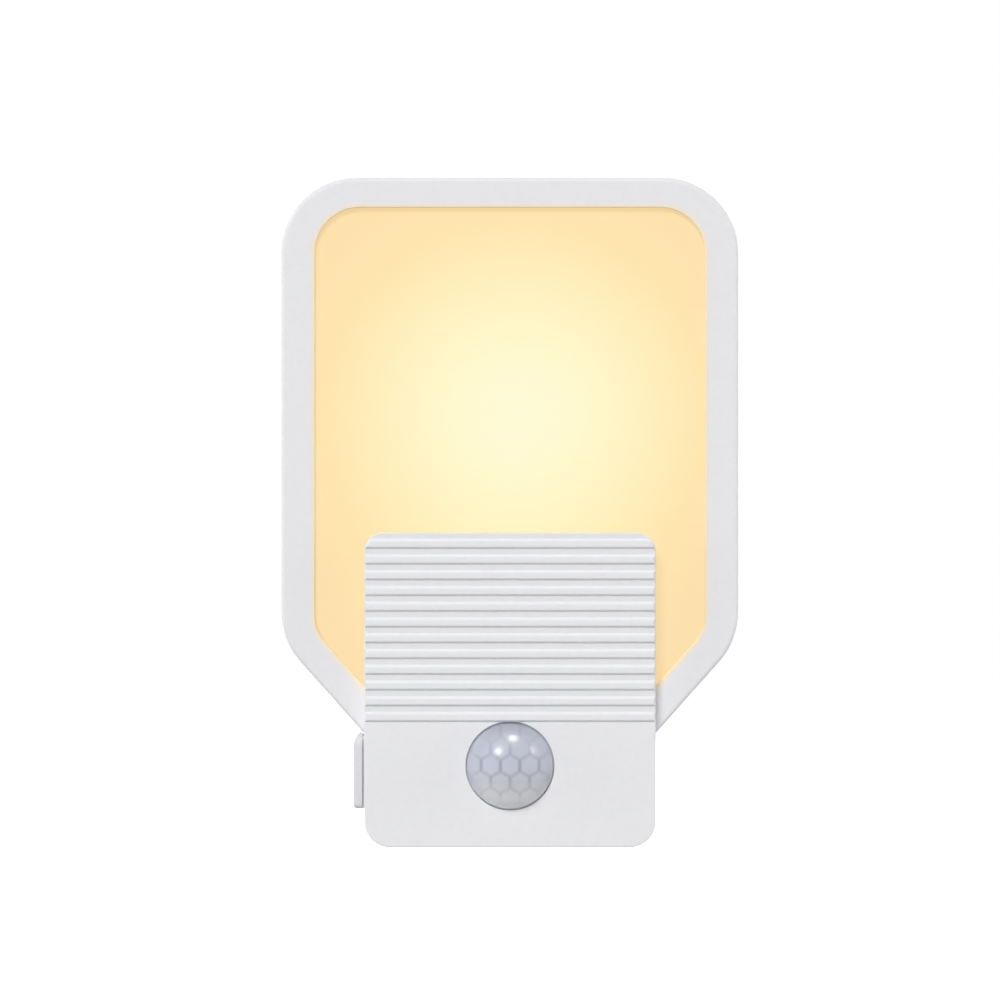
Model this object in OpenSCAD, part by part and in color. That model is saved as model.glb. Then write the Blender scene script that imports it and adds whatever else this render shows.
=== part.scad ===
// Plug-in night light: a lit panel and a ribbed body with a motion sensor lens and a slide switch.
// The wall is the plane y = 0, the front faces -Y, +Z is up and the plug is centred on the origin.
// All lengths are in millimetres.

/* [Body] */
// Width of the body
body_w = 50; // [48:0.5:56]
// Height of the body
body_h = 54; // [52:0.5:60]
// How far the body's plain front stands in front of the panel
body_proud = 4; // [3.4:0.2:6]
// Corner radius at the top of the body
body_top_radius = 3.1; // [1:0.1:4.5]
// Corner radius at the bottom of the body
body_bottom_radius = 4.5; // [2:0.1:5.5]
// Rounding along the front edge of the body
body_edge = 0.5; // [0.2:0.1:0.8]
// Wall thickness of the moulded body shells
shell_wall = 1.8; // [1.4:0.1:2.2]
// How far the rear housing is set in from the front cover's sides
rear_inset = 0.6; // [0.2:0.1:1]
// Thickness of the rear housing's floor against the wall
rear_floor = 2; // [1.6:0.1:3]
// Chamfer around the rear face
rear_edge = 1.2; // [0.4:0.1:1.4]

/* [Ribs] */
// Number of raised ribs across the upper front
rib_count = 12; // [4:1:12]
// Distance from one rib to the next
rib_pitch = 2.7; // [2.3:0.05:2.75]
// Height of one rib at its foot
rib_h = 1.75; // [1.2:0.05:2]
// Height of a rib's sloping flank
rib_slope = 0.4; // [0.1:0.05:0.5]
// How far a rib stands out of the plain front
rib_proud = 0.45; // [0.2:0.05:0.8]
// Distance from the body's top edge down to the first rib
rib_start = 1.05; // [0.9:0.05:2]

/* [Panel] */
// Width of the light panel
panel_w = 79; // [74:0.5:88]
// How far the panel rises above the body's top edge
panel_rise = 61.3; // [56:0.5:70]
// Thickness of the panel
panel_t = 10; // [9:0.2:12]
// Outer corner radius of the panel
panel_radius = 13; // [9:0.5:15]
// Height above the body's bottom at which the slanted edges meet its sides
slant_rise = 18.96; // [18.4:0.02:21]
// Angle of the slanted lower edges from the horizontal
taper_angle = 48.5; // [44:0.5:51]
// Rim width along the sides
rim_side = 5.8; // [4.5:0.1:7]
// Rim width along the top
rim_top = 5.15; // [4:0.05:7]
// Rim width along the slanted lower edges
rim_slant = 5.5; // [4.5:0.1:7]
// Corner radius of the lit opening
opening_radius = 7.8; // [5:0.1:9]
// Bevel around the lit opening
rim_bevel = 0.4; // [0.2:0.1:0.8]
// Rounding along the panel's outer edges
panel_edge = 0.7; // [0.3:0.1:1]
// Thickness of the bezel's front lip
lip_t = 1.2; // [1:0.1:1.6]
// Wall of the bezel's skirt
skirt_wall = 1.5; // [1.3:0.1:2]
// Thickness of the panel's back
panel_floor = 1.8; // [1.6:0.1:2.2]
// Wall inside the panel that holds the diffuser against the lip
back_wall = 1.4; // [1:0.1:2]
// Thickness of the diffuser plate
diffuser_t = 2; // [1.5:0.1:2.4]
// Thickness of the reflector sheet
reflector_t = 0.3; // [0.2:0.05:0.5]
// How far the panel tucks in behind the body's side faces
panel_tuck = 1.3; // [1:0.1:1.6]

/* [Snap ridges] */
// Length of one snap ridge on the panel's back
snap_l = 6; // [4:0.5:8]
// Width of a snap ridge
snap_w = 0.8; // [0.6:0.1:1.2]
// How far a snap ridge bites into the bezel's skirt
snap_bite = 0.25; // [0.15:0.05:0.4]
// Distance of the snap ridges from the panel's corners
snap_inset = 22; // [18:1:28]

/* [Lamp board] */
// Width of the lamp board
lamp_w = 44; // [36:1:52]
// Height of the lamp board
lamp_h = 44; // [36:1:44]
// Columns of light-emitting diodes
led_columns = 3; // [2:1:4]
// Rows of light-emitting diodes
led_rows = 4; // [2:1:5]
// Width of one diode
led_w = 3.5; // [2:0.1:4]
// Height of one diode
led_h = 2.8; // [2:0.1:4]
// Thickness of one diode
led_t = 0.8; // [0.5:0.1:1.2]
// Diameter of a lamp lead over its insulation
lead_d = 1.2; // [0.8:0.1:1.6]
// Distance between the two lamp leads
lead_pitch = 3.2; // [2.4:0.1:4]
// Distance of the leads' way through the panel's back below the power board's top
lead_drop = 5; // [4:0.5:6]

/* [Screws] */
// Shank diameter of the case screws
screw_d = 2.9; // [2.5:0.1:3.2]
// Shank length of the case screws
screw_l = 12; // [10:0.5:13]
// Head diameter of the case screws
screw_head_d = 5.2; // [4.6:0.1:5.6]
// Head height of the case screws
screw_head_h = 1.8; // [1.4:0.1:2.2]
// Thickness of the housing under the screw heads
screw_seat = 4; // [3:0.5:5]
// Distance of the upper screws from the body's sides
upper_screw_side = 7; // [6.8:0.1:8]
// Distance of the upper screws from the body's top
upper_screw_top = 9; // [8.5:0.1:10]
// Distance of the lower screws from the body's bottom
lower_screw_bottom = 6.5; // [6.4:0.1:7]
// Diameter of the front cover's screw bosses
boss_d = 6; // [5.4:0.1:6.2]
// Wall around the screw heads in the rear housing
boss_wall = 1.4; // [1.2:0.1:1.6]
// Shank diameter of the lamp board screws
lamp_screw_d = 2; // [1.6:0.1:2.2]
// Head diameter of the lamp board screws
lamp_screw_head_d = 3.8; // [3.4:0.1:4.2]
// Head height of the lamp board screws
lamp_screw_head_h = 1.2; // [1:0.1:1.4]
// Distance of the lamp board screws from its edges
lamp_screw_inset = 3; // [2.4:0.1:3.4]
// Length of a lamp board screw in the panel's back
lamp_screw_hold = 1.2; // [0.8:0.1:1.3]
// Width of the cross recess in a screw head
recess_w = 0.7; // [0.5:0.1:1]
// Length of the cross recess in a screw head
recess_l = 2.8; // [2:0.1:3.2]
// Depth of the cross recess in a screw head
recess_t = 0.9; // [0.5:0.1:1.1]

/* [Plug] */
// Distance between the centres of the two blades
blade_pitch = 12.7; // [12.7:0.1:12.7]
// Height of one blade
blade_h = 6.35; // [6:0.05:7]
// Thickness of one blade
blade_t = 1.5; // [1.4:0.05:1.65]
// Length of a blade past the rear face
blade_l = 16.5; // [15.9:0.1:18]
// Chamfer at the tip of a blade
blade_tip = 1.2; // [0.6:0.1:1.6]
// Height of a blade's tail through the power board
blade_tail_h = 3; // [2:0.1:4]
// Diameter of the hole near the tip
blade_hole_d = 3.2; // [2.8:0.1:3.6]
// Distance of that hole from the tip
blade_hole_back = 4.4; // [4:0.1:5]
// Width of the plug insert
insert_w = 26; // [22:0.5:28]
// Height of the plug insert
insert_h = 16; // [12:0.5:17]
// Corner radius of the plug insert
insert_radius = 3; // [1:0.5:5]
// Flange around the insert inside the housing
insert_flange = 3; // [2:0.1:3.4]
// Thickness of that flange
insert_flange_t = 2.4; // [2:0.1:3]
// How far the insert's face lies below the rear face
insert_recess = 0.4; // [0.2:0.1:0.8]

/* [Power board] */
// Thickness of the circuit boards
board_t = 1.6; // [1.2:0.1:2]
// Width of the film capacitor
film_w = 13; // [10:0.5:14]
// Thickness of the film capacitor
film_t = 6; // [4:0.5:6]
// Height of the film capacitor above the board
film_h = 9.2; // [7:0.1:10]
// Diameter of the filter capacitor
filter_d = 8; // [6:0.5:8]
// Height of the filter capacitor above the board
filter_h = 9; // [7:0.1:10]
// Width of the bridge rectifier
bridge_w = 8; // [6:0.2:9]
// Length of the bridge rectifier
bridge_l = 6.4; // [5:0.2:7]
// Height of the bridge rectifier
bridge_h = 3; // [2:0.1:4]
// Diameter of the fuse resistor
fuse_d = 3.2; // [2.4:0.1:3.6]
// Length of the fuse resistor's body
fuse_l = 9; // [7:0.2:9.4]
// Diameter of the varistor's disc
varistor_d = 7; // [5:0.1:7.6]
// Thickness of the varistor's disc
varistor_t = 3.5; // [2.5:0.1:4]
// Diameter of the wire legs of the parts
leg_d = 0.6; // [0.5:0.05:0.8]
// Diameter of the posts under the power board
post_d = 3.4; // [3:0.1:3.6]
// Number of pins between the two boards
link_count = 3; // [2:1:3]
// Distance between those pins
link_pitch = 2.54; // [2:0.02:2.54]
// Thickness of one square pin
link_pin = 0.64; // [0.5:0.02:0.7]
// Width of the pins' plastic bar
link_bar_w = 2.5; // [2:0.1:2.6]
// Distance of the pins' middle from the body's middle
link_x = 13.2; // [13:0.1:13.6]
// Length of a pin past a board
link_tail = 0.8; // [0.5:0.1:1.2]

/* [Motion sensor] */
// Height of the lens centre above the body's bottom
lens_rise = 14; // [13.4:0.1:14.4]
// Diameter of the lens hole in the front cover
lens_hole_d = 15.2; // [14:0.1:15.4]
// Gap around the lens in its hole
lens_gap = 0.3; // [0.2:0.05:0.4]
// Straight part of the lens in front of the plain front
lens_collar = 0.4; // [0.2:0.1:1]
// Height of the lens dome
lens_dome = 5.2; // [3.5:0.1:6]
// Wall of the lens
lens_wall = 0.8; // [0.6:0.1:1.2]
// Distance between the centres of the honeycomb cells inside the lens
cell_pitch = 3.3; // [2.8:0.1:3.8]
// Rings of honeycomb cells around the middle one
cell_rings = 2; // [1:1:2]
// Width of the flange behind the lens hole
lens_flange = 1.4; // [1:0.1:1.6]
// Thickness of that flange
lens_flange_t = 1; // [0.8:0.1:1.4]
// Wall of the hood between lens and sensor board
hood_wall = 1.5; // [1:0.1:1.8]
// Diameter of the sensor can's foot
can_foot_d = 9.2; // [8.2:0.1:9.4]
// Diameter of the sensor can
can_d = 8.2; // [7:0.1:8.2]
// Height of the sensor can
can_h = 4.4; // [3.4:0.1:5]
// Thickness of the sensor can's foot
can_foot_t = 0.7; // [0.5:0.1:1]
// Width of the sensor's window
window_w = 4; // [3:0.1:4.6]
// Height of the sensor's window
window_h = 3; // [2:0.1:3.6]
// Thickness of the sensor's window
window_t = 0.5; // [0.3:0.1:0.8]
// Diameter of the circle of the can's legs
can_leg_circle = 5.08; // [4:0.02:5.4]
// Distance of the sensor board's rear from the panel's back plane
sensor_setback = 2; // [1.6:0.1:2.6]
// Width of the sensor board's tongue beside the hood
tongue_margin = 3; // [2:0.1:3.2]
// Size of the square light sensor chip
eye_w = 1.4; // [1:0.1:1.6]
// Thickness of the light sensor chip
eye_t = 0.8; // [0.5:0.1:1.2]
// Width of the control chip
chip_w = 4; // [3:0.1:4.4]
// Length of the control chip
chip_l = 5; // [4:0.1:5.2]
// Thickness of the control chip
chip_t = 1.6; // [1.2:0.1:2]
// Diameter of the chip's capacitor
chip_cap_d = 4; // [3:0.1:4.4]
// Height of the chip's capacitor
chip_cap_h = 5; // [4:0.1:5.6]

/* [Slide switch] */
// Height of the knob
knob_h = 11.8; // [10:0.1:12]
// Depth of the knob from front to rear
knob_d = 10; // [8:0.1:10.4]
// Thickness of the knob's cap
knob_t = 1.5; // [1.2:0.1:2]
// Corner radius of the knob's cap
knob_radius = 1; // [0.4:0.1:1.4]
// Rounding along the outer edge of the knob's cap
knob_edge = 0.7; // [0.3:0.1:0.9]
// Gap between the knob's cap and the body's side
knob_gap = 0.5; // [0.4:0.05:0.7]
// Gap between the panel's slanted edge and the knob's top
knob_drop = 0.8; // [0.6:0.1:1.2]
// Number of grip grooves in the knob
grip_count = 5; // [3:1:6]
// Distance from one grip groove to the next
grip_pitch = 1.6; // [1.4:0.1:1.7]
// Width of a grip groove
grip_w = 0.6; // [0.4:0.1:0.8]
// Depth of a grip groove
grip_t = 0.4; // [0.2:0.05:0.6]
// Travel of the knob over its three positions
knob_travel = 4; // [3:0.1:4.2]
// Height of the knob's shank through the body's side
shank_h = 4; // [3.4:0.1:4.4]
// Depth of the knob's shank from front to rear
shank_d = 3.4; // [3:0.1:3.8]
// Length of the switch
switch_l = 12; // [11.6:0.1:12.4]
// Width of the switch from side to side
switch_w = 5; // [4.6:0.1:5.4]
// Height of the switch above its board
switch_h = 5; // [4.8:0.1:5.6]
// Sheet thickness of the switch frame and of its contact bridge
sheet_t = 0.4; // [0.3:0.05:0.5]
// Thickness of the switch base
switch_base_t = 1.1; // [0.8:0.1:1.3]
// Length of the slider block
slider_l = 4.5; // [4:0.1:4.8]
// Length of the slider's stem
stem_l = 2.9; // [2.4:0.1:3]
// Height of the slider's stem
stem_h = 2; // [1.6:0.1:2.2]
// Depth of the slider's stem from front to rear
stem_d = 1.6; // [1.4:0.1:1.8]
// Thickness of a switch terminal
terminal_w = 0.8; // [0.6:0.1:1]
// Distance between the switch terminals
terminal_pitch = 2.5; // [2.2:0.1:2.6]

/* [Fits] */
// Gap between fixed pieces that slip together
fit_gap = 0.15; // [0.1:0.05:0.2]
// Gap between pieces that slide past each other
slide_gap = 0.3; // [0.25:0.05:0.4]
// Room around loose-laid boards and their parts
part_gap = 0.8; // [0.6:0.1:0.9]

/* [Hidden] */
$fn = 48;

// Length that a cut runs past the faces it opens
over = 1;
// Points along each rounded corner
arc_steps = 10;
// Smallest corner radius left after an inset
corner_least = 0.3;
// Share of an edge rounding at its middle point
soft_step = 1 - cos(45);

white_shell = [0.93, 0.93, 0.94];
white_inner = [0.86, 0.86, 0.84];
warm_opal = [1, 0.93, 0.72];
board_green = [0.16, 0.36, 0.22];
steel = [0.75, 0.75, 0.76];
brass = [0.82, 0.68, 0.36];
black_part = [0.13, 0.13, 0.14];

// Levels from the wall to the front
y_floor = -rear_floor;
y_power_back = y_floor - insert_flange_t;
y_power = y_power_back - board_t;
varistor_h = varistor_d + leg_d;
power_bay = max(film_h, filter_h, bridge_h, fuse_d + leg_d, varistor_h) + part_gap;
y_panel_back = y_power - power_bay;
y_panel_floor = y_panel_back - panel_floor;
y_panel = y_panel_back - panel_t;
y_lip = y_panel + lip_t;
y_diffuser = y_lip + diffuser_t;
y_front = y_panel - body_proud;
y_front_in = y_front + shell_wall;
y_sensor_back = y_panel_back - sensor_setback;
y_sensor = y_sensor_back - board_t;
y_lamp = y_panel_floor - board_t;
y_seat = y_panel_back + screw_seat;

// Outlines in the X-Z plane
half_w = body_w / 2;
half_h = body_h / 2;
panel_half = panel_w / 2;
panel_top = half_h + panel_rise;
tuck_x = half_w - panel_tuck;
slant_at_side = slant_rise - half_h;
panel_bottom = slant_at_side - panel_tuck * tan(taper_angle);
taper_z = slant_at_side + (panel_half - half_w) * tan(taper_angle);
body_corners = [[-half_w, -half_h], [half_w, -half_h], [half_w, half_h], [-half_w, half_h]];
body_radii = [body_bottom_radius, body_bottom_radius, body_top_radius, body_top_radius];
panel_corners = [
    [-tuck_x, panel_bottom], [tuck_x, panel_bottom], [panel_half, taper_z],
    [panel_half, panel_top], [-panel_half, panel_top], [-panel_half, taper_z]
];
panel_radii = [corner_least, corner_least, panel_radius, panel_radius, panel_radius, panel_radius];
rim_widths = [rim_slant, rim_slant, rim_side, rim_top, rim_side, rim_slant];

// Screws and the bosses that take them
upper_screw_x = half_w - upper_screw_side;
upper_screw_z = half_h - upper_screw_top;
sensor_half = half_w - shell_wall - part_gap;
lower_screw_x = sensor_half - switch_w - part_gap - boss_d / 2;
lower_screw_z = lower_screw_bottom - half_h;
pilot_d = screw_d + fit_gap;
screw_hole_d = screw_d + 2 * fit_gap;
counterbore_d = screw_head_d + 2 * fit_gap;
rear_boss_d = counterbore_d + 2 * boss_wall;
boss_hole_d = boss_d + 2 * fit_gap;
y_screw_end = y_seat - screw_l;
y_pilot_end = y_screw_end - part_gap;

// Boards
lamp_z = upper_screw_z + boss_d / 2 + part_gap + lamp_h / 2;
power_half = half_w - rear_inset - shell_wall - part_gap;
power_top = upper_screw_z - rear_boss_d / 2 - part_gap;
power_bottom = lower_screw_z + rear_boss_d / 2 + part_gap;
lead_z = power_top - lead_drop;
post_inset = post_d / 2 + part_gap;
row_x = power_half - part_gap;
row_z = power_top - part_gap;
fuse_z = power_bottom + 2 * part_gap + fuse_d / 2;
y_fuse = y_power - leg_d - fuse_d / 2;
middle_z = row_z - max(film_t, filter_d) - part_gap - max(bridge_l, varistor_d) / 2;
y_varistor = y_power - leg_d - varistor_d / 2;

// Motion sensor
lens_z = lens_rise - half_h;
lens_d = lens_hole_d - 2 * lens_gap;
lens_flange_d = lens_hole_d + 2 * lens_flange;
y_flange = y_front_in + lens_flange_t;
y_collar = y_front - lens_collar;
lens_bore_r = lens_d / 2 - lens_wall;
dome_r = (pow(lens_d / 2, 2) + pow(lens_dome, 2)) / (2 * lens_dome);
y_dome = y_collar - lens_dome + dome_r;
hood_bore = lens_d - part_gap;
hood_d = hood_bore + 2 * hood_wall;
y_can = y_sensor - can_h;
sensor_bottom = shell_wall + part_gap - half_h;
sensor_top = panel_bottom - part_gap;
tongue_half = hood_d / 2 + tongue_margin;
tongue_top = lens_z + hood_d / 2 + fit_gap;
notch_half = tongue_half + part_gap;
notch_top = tongue_top + part_gap;
leg_hole_d = leg_d + 2 * fit_gap;
eye_z = lens_z - (can_foot_d + hood_bore) / 4;
chip_x = lower_screw_x + boss_d / 2 + part_gap + chip_w / 2;
chip_z = lower_screw_z + part_gap;
chip_cap_x = -(hood_d / 2 + part_gap + chip_cap_d / 2 + part_gap);
link_z = power_bottom + part_gap + link_bar_w / 2;

// Slide switch, stored in its upper position
knob_top = slant_at_side - knob_drop;
knob_z = knob_top - knob_h / 2;
switch_z = knob_z - knob_travel / 2;
switch_x = -sensor_half;
y_switch = y_sensor - switch_h;
y_switch_base = y_sensor - switch_base_t;
y_slider_back = y_switch_base - slide_gap - sheet_t;
y_slider_front = y_switch + sheet_t + slide_gap;
stem_y = (y_slider_back + y_slider_front) / 2;
slider_x = switch_x + sheet_t + slide_gap;
slider_far_x = switch_x + switch_w - sheet_t - slide_gap;
stem_end_x = slider_x - stem_l;
shank_end_x = switch_x - slide_gap;

// Points of rounded outlines, counterclockwise as seen from the front
function unit(v) = v / norm(v);
function turned(v, a) = [v.x * cos(a) - v.y * sin(a), v.x * sin(a) + v.y * cos(a)];
function moved_corner(points, widths, i) = let (
    n = len(points),
    h = (i + n - 1) % n,
    e0 = unit(points[i] - points[h]),
    e1 = unit(points[(i + 1) % n] - points[i]),
    a = points[h] + turned(e0, 90) * widths[h],
    b = points[i] + turned(e1, 90) * widths[i]
) a + e0 * cross(b - a, e1) / cross(e0, e1);
function inset(points, widths) = [for (i = [0 : len(points) - 1]) moved_corner(points, widths, i)];
function even(points, d) = inset(points, [for (p = points) d]);
function corner_arc(points, radii, i) = let (
    n = len(points),
    p = points[i],
    u = unit(points[(i + n - 1) % n] - p),
    w = unit(points[(i + 1) % n] - p),
    half = acos(u * w) / 2,
    centre = p + unit(u + w) * radii[i] / sin(half),
    start = p + u * radii[i] / tan(half) - centre
) [for (k = [0 : arc_steps]) centre + turned(start, (180 - 2 * half) * k / arc_steps)];
function rounded(points, radii) = [for (i = [0 : len(points) - 1]) each corner_arc(points, radii, i)];
function shrunk(radii, d) = [for (r = radii) max(r - d, corner_least)];
function body_outline(d) = rounded(even(body_corners, d), shrunk(body_radii, d));
function panel_outline(d) = rounded(even(panel_corners, d), shrunk(panel_radii, d));
function opening_outline(d) = rounded(
    inset(panel_corners, [for (w = rim_widths) w + d]),
    [for (p = panel_corners) opening_radius - d]
);
function box_outline(w, h, r) = rounded(
    [[-w / 2, -h / 2], [w / 2, -h / 2], [w / 2, h / 2], [-w / 2, h / 2]], [r, r, r, r]
);

function insert_outline(d) = box_outline(insert_w + 2 * d, insert_h + 2 * d, insert_radius + d);

// Outline drawn in X-Z and filled from y_from to y_to
module slab(y_from, y_to) {
    translate([0, y_to, 0]) rotate([90, 0, 0]) linear_extrude(y_to - y_from) children();
}

module plate(outline, y_from, y_to) {
    slab(y_from, y_to) polygon(outline);
}

// Round bar along Y
module bar(x, z, d, y_from, y_to) {
    translate([x, y_to, z]) rotate([90, 0, 0]) cylinder(d = d, h = y_to - y_from);
}

// Round bar along Z
module rod(x, y, d, z_from, z_to) {
    translate([x, y, z_from]) cylinder(d = d, h = z_to - z_from);
}

module box(from, to) {
    translate(from) cube(to - from);
}

// Solid through rings of points, each ring lying at one level of Y
module loft(rings, levels) {
    n = len(rings[0]);
    last = len(rings) - 1;
    polyhedron(
        points = [for (k = [0 : last]) for (p = rings[k]) [p.x, levels[k], p.y]],
        faces = concat(
            [[for (i = [n - 1 : -1 : 0]) i]],
            [for (k = [0 : last - 1]) for (i = [0 : n - 1])
                [k * n + i, k * n + (i + 1) % n, (k + 1) * n + (i + 1) % n, (k + 1) * n + i]],
            [[for (i = [0 : n - 1]) last * n + i]]
        )
    );
}

// Places of the screws that hold the body together
module at_upper_screws() {
    for (side = [-1, 1]) translate([side * upper_screw_x, 0, upper_screw_z]) children();
}

module at_lower_screws() {
    for (side = [-1, 1]) translate([side * lower_screw_x, 0, lower_screw_z]) children();
}

module at_case_screws() {
    at_upper_screws() children();
    at_lower_screws() children();
}

module at_lamp_screws() {
    for (sx = [-1, 1]) for (sz = [-1, 1])
        translate([
            sx * (lamp_w / 2 - lamp_screw_inset), 0, lamp_z + sz * (lamp_h / 2 - lamp_screw_inset)
        ]) children();
}

// Pan-head screw with its head towards +Y, seated at y = 0
module screw(d, l, head_d, head_h) {
    difference() {
        union() {
            bar(0, 0, d, -l, 0);
            bar(0, 0, head_d, 0, head_h);
        }
        for (a = [0, 90]) rotate([0, a, 0])
            box([-recess_l / 2, head_h - recess_t, -recess_w / 2],
                [recess_l / 2, head_h + over, recess_w / 2]);
    }
}

// Space in the panel for the hood and the sensor board's tongue
module sensor_notch(y_from, y_to) {
    box([-notch_half, y_from, panel_bottom - over], [notch_half, y_to, notch_top]);
}

// Snap ridges between the panel's back and the bezel's skirt
module snap_ridges(grow) {
    y_snap = (y_diffuser + y_panel_floor) / 2;
    reach = skirt_wall - snap_bite - grow;
    root = skirt_wall + fit_gap + back_wall / 2;
    for (side = [-1, 1]) {
        translate([side * (panel_half - snap_inset), y_snap, panel_top])
            box([-snap_l / 2 - grow, -snap_w / 2 - grow, -root],
                [snap_l / 2 + grow, snap_w / 2 + grow, -reach]);
        for (z = [panel_top - snap_inset, taper_z + snap_inset])
            translate([side * panel_half, y_snap, z]) mirror([side > 0 ? 0 : 1, 0, 0])
                box([-root, -snap_w / 2 - grow, -snap_l / 2 - grow],
                    [-reach, snap_w / 2 + grow, snap_l / 2 + grow]);
    }
}

// Raised bands across the upper front, cut to the body's outline
module ribs() {
    root = shell_wall / 2;
    intersection() {
        plate(body_outline(body_edge * soft_step), y_front - rib_proud - over, y_front + root);
        for (i = [0 : rib_count - 1])
            translate([-body_w, y_front, half_h - rib_start - i * rib_pitch]) rotate([90, 0, 90])
                linear_extrude(2 * body_w) polygon([
                    [root, 0], [0, 0], [-rib_proud, -rib_slope],
                    [-rib_proud, rib_slope - rib_h], [0, -rib_h], [root, -rib_h]
                ]);
    }
}

module front_cover() {
    slot_h = shank_h / 2 + slide_gap;
    slot_d = shank_d / 2 + slide_gap;
    color(white_shell)
    difference() {
        union() {
            difference() {
                loft(
                    [for (d = [body_edge, body_edge * soft_step, 0, 0]) body_outline(d)],
                    [y_front, y_front + body_edge * soft_step, y_front + body_edge, y_panel_back]
                );
                plate(body_outline(shell_wall), y_front_in, y_panel_back + over);
                plate(panel_outline(-fit_gap), y_panel, y_panel_back + over);
            }
            ribs();
            at_upper_screws() bar(0, 0, boss_d, y_front_in - shell_wall / 2, y_panel_floor);
            at_lower_screws() bar(0, 0, boss_d, y_front_in - shell_wall / 2, y_sensor);
        }
        bar(0, lens_z, lens_hole_d, y_front - rib_proud - over, y_front_in + over);
        at_case_screws() bar(0, 0, pilot_d, y_pilot_end, y_panel_floor + over);
        box([-half_w - over, stem_y - slot_d, knob_z - knob_travel - slot_h],
            [-half_w + shell_wall + over, stem_y + slot_d, knob_z + slot_h]);
    }
}

module bezel_frame() {
    tab_x = half_w - panel_tuck / 3;
    tab_top = half_h - panel_tuck / 3;
    color(white_shell)
    difference() {
        loft(
            [for (d = [panel_edge, panel_edge * soft_step, 0, 0]) panel_outline(d)],
            [y_panel, y_panel + panel_edge * soft_step, y_panel + panel_edge, y_panel_floor]
        );
        plate(panel_outline(skirt_wall), y_lip, y_panel_floor + over);
        difference() {
            loft(
                [for (d = [-rim_bevel - over, 0, 0]) opening_outline(d)],
                [y_panel - over, y_panel + rim_bevel, y_lip + over]
            );
            box([-tab_x, y_panel - 2 * over, panel_bottom], [tab_x, y_lip + 2 * over, tab_top]);
        }
        sensor_notch(y_panel - over, y_panel_floor + over);
        at_upper_screws() bar(0, 0, boss_hole_d, y_panel - over, y_lip + over);
        snap_ridges(fit_gap);
    }
}

module diffuser() {
    color(warm_opal)
    difference() {
        plate(panel_outline(skirt_wall + fit_gap), y_lip, y_diffuser);
        sensor_notch(y_lip - over, y_diffuser + over);
        at_upper_screws() bar(0, 0, boss_hole_d, y_lip - over, y_diffuser + over);
    }
}

// Places of the honeycomb cells, in steps of their pitch across and up
function cell_steps() = [
    for (i = [-cell_rings : cell_rings]) for (k = [-cell_rings : cell_rings])
        if (abs(i + k) <= cell_rings) [i + k / 2, k * sin(60)]
];

// Hollow of the lens, whose dome is made of flat honeycomb cells
module lens_cavity() {
    cell_r = dome_r - lens_wall;
    cell_tilt = cell_pitch / cell_r * 180 / PI;
    difference() {
        bar(0, 0, 2 * lens_bore_r, y_collar - lens_dome, y_flange + over);
        translate([0, y_dome, 0])
        for (c = cell_steps())
            rotate([0, -atan2(c.y, c.x), 0]) rotate([0, 0, norm(c) * cell_tilt])
                box([-lens_d, -cell_r - lens_d, -lens_d], [lens_d, -cell_r, lens_d]);
    }
}

module pir_lens() {
    color([0.80, 0.81, 0.85])
    translate([0, 0, lens_z])
    difference() {
        union() {
            bar(0, 0, lens_flange_d, y_front_in, y_flange);
            bar(0, 0, lens_d, y_collar, y_flange);
            intersection() {
                translate([0, y_dome, 0]) sphere(r = dome_r);
                bar(0, 0, lens_d, y_collar - lens_dome - over, y_collar + lens_wall / 2);
            }
        }
        lens_cavity();
    }
}

module switch_knob() {
    cap_out = knob_gap + knob_t;
    grip_d = knob_d - 4 * knob_edge;
    color(white_shell)
    difference() {
        union() {
            translate([-half_w, stem_y, knob_z]) rotate([0, 0, -90]) loft(
                [for (d = [knob_edge, knob_edge * soft_step, 0, 0])
                    box_outline(knob_d - 2 * d, knob_h - 2 * d, max(knob_radius - d, corner_least))],
                [-cap_out, knob_edge * soft_step - cap_out, knob_edge - cap_out, -knob_gap]
            );
            box([-half_w - knob_gap - knob_t / 2, stem_y - shank_d / 2, knob_z - shank_h / 2],
                [shank_end_x, stem_y + shank_d / 2, knob_z + shank_h / 2]);
        }
        for (i = [0 : grip_count - 1])
            translate([-half_w - cap_out, stem_y, knob_z + (i - (grip_count - 1) / 2) * grip_pitch])
                box([-over, -grip_d / 2, -grip_w / 2], [grip_t, grip_d / 2, grip_w / 2]);
        box([stem_end_x, stem_y - stem_d / 2, knob_z - stem_h / 2],
            [shank_end_x + over, stem_y + stem_d / 2, knob_z + stem_h / 2]);
    }
}

module panel_back() {
    wall_out = skirt_wall + fit_gap;
    color(white_shell)
    difference() {
        union() {
            loft(
                [for (d = [0, 0, panel_edge * soft_step, panel_edge]) panel_outline(d)],
                [y_panel_floor, y_panel_back - panel_edge,
                    y_panel_back - panel_edge * soft_step, y_panel_back]
            );
            difference() {
                plate(panel_outline(wall_out), y_diffuser, y_panel_floor + panel_floor / 2);
                plate(panel_outline(wall_out + back_wall), y_diffuser - over, y_panel_floor);
            }
            snap_ridges(0);
        }
        sensor_notch(y_diffuser - over, y_panel_back + over);
        at_upper_screws() bar(0, 0, screw_hole_d, y_panel_floor - over, y_panel_back + over);
        at_lamp_screws()
            bar(0, 0, lamp_screw_d + fit_gap, y_panel_floor - over, y_panel_floor + lamp_screw_hold);
        bar(0, lead_z, lead_pitch + lead_d + 2 * part_gap, y_panel_floor - over, y_panel_back + over);
    }
}

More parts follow.
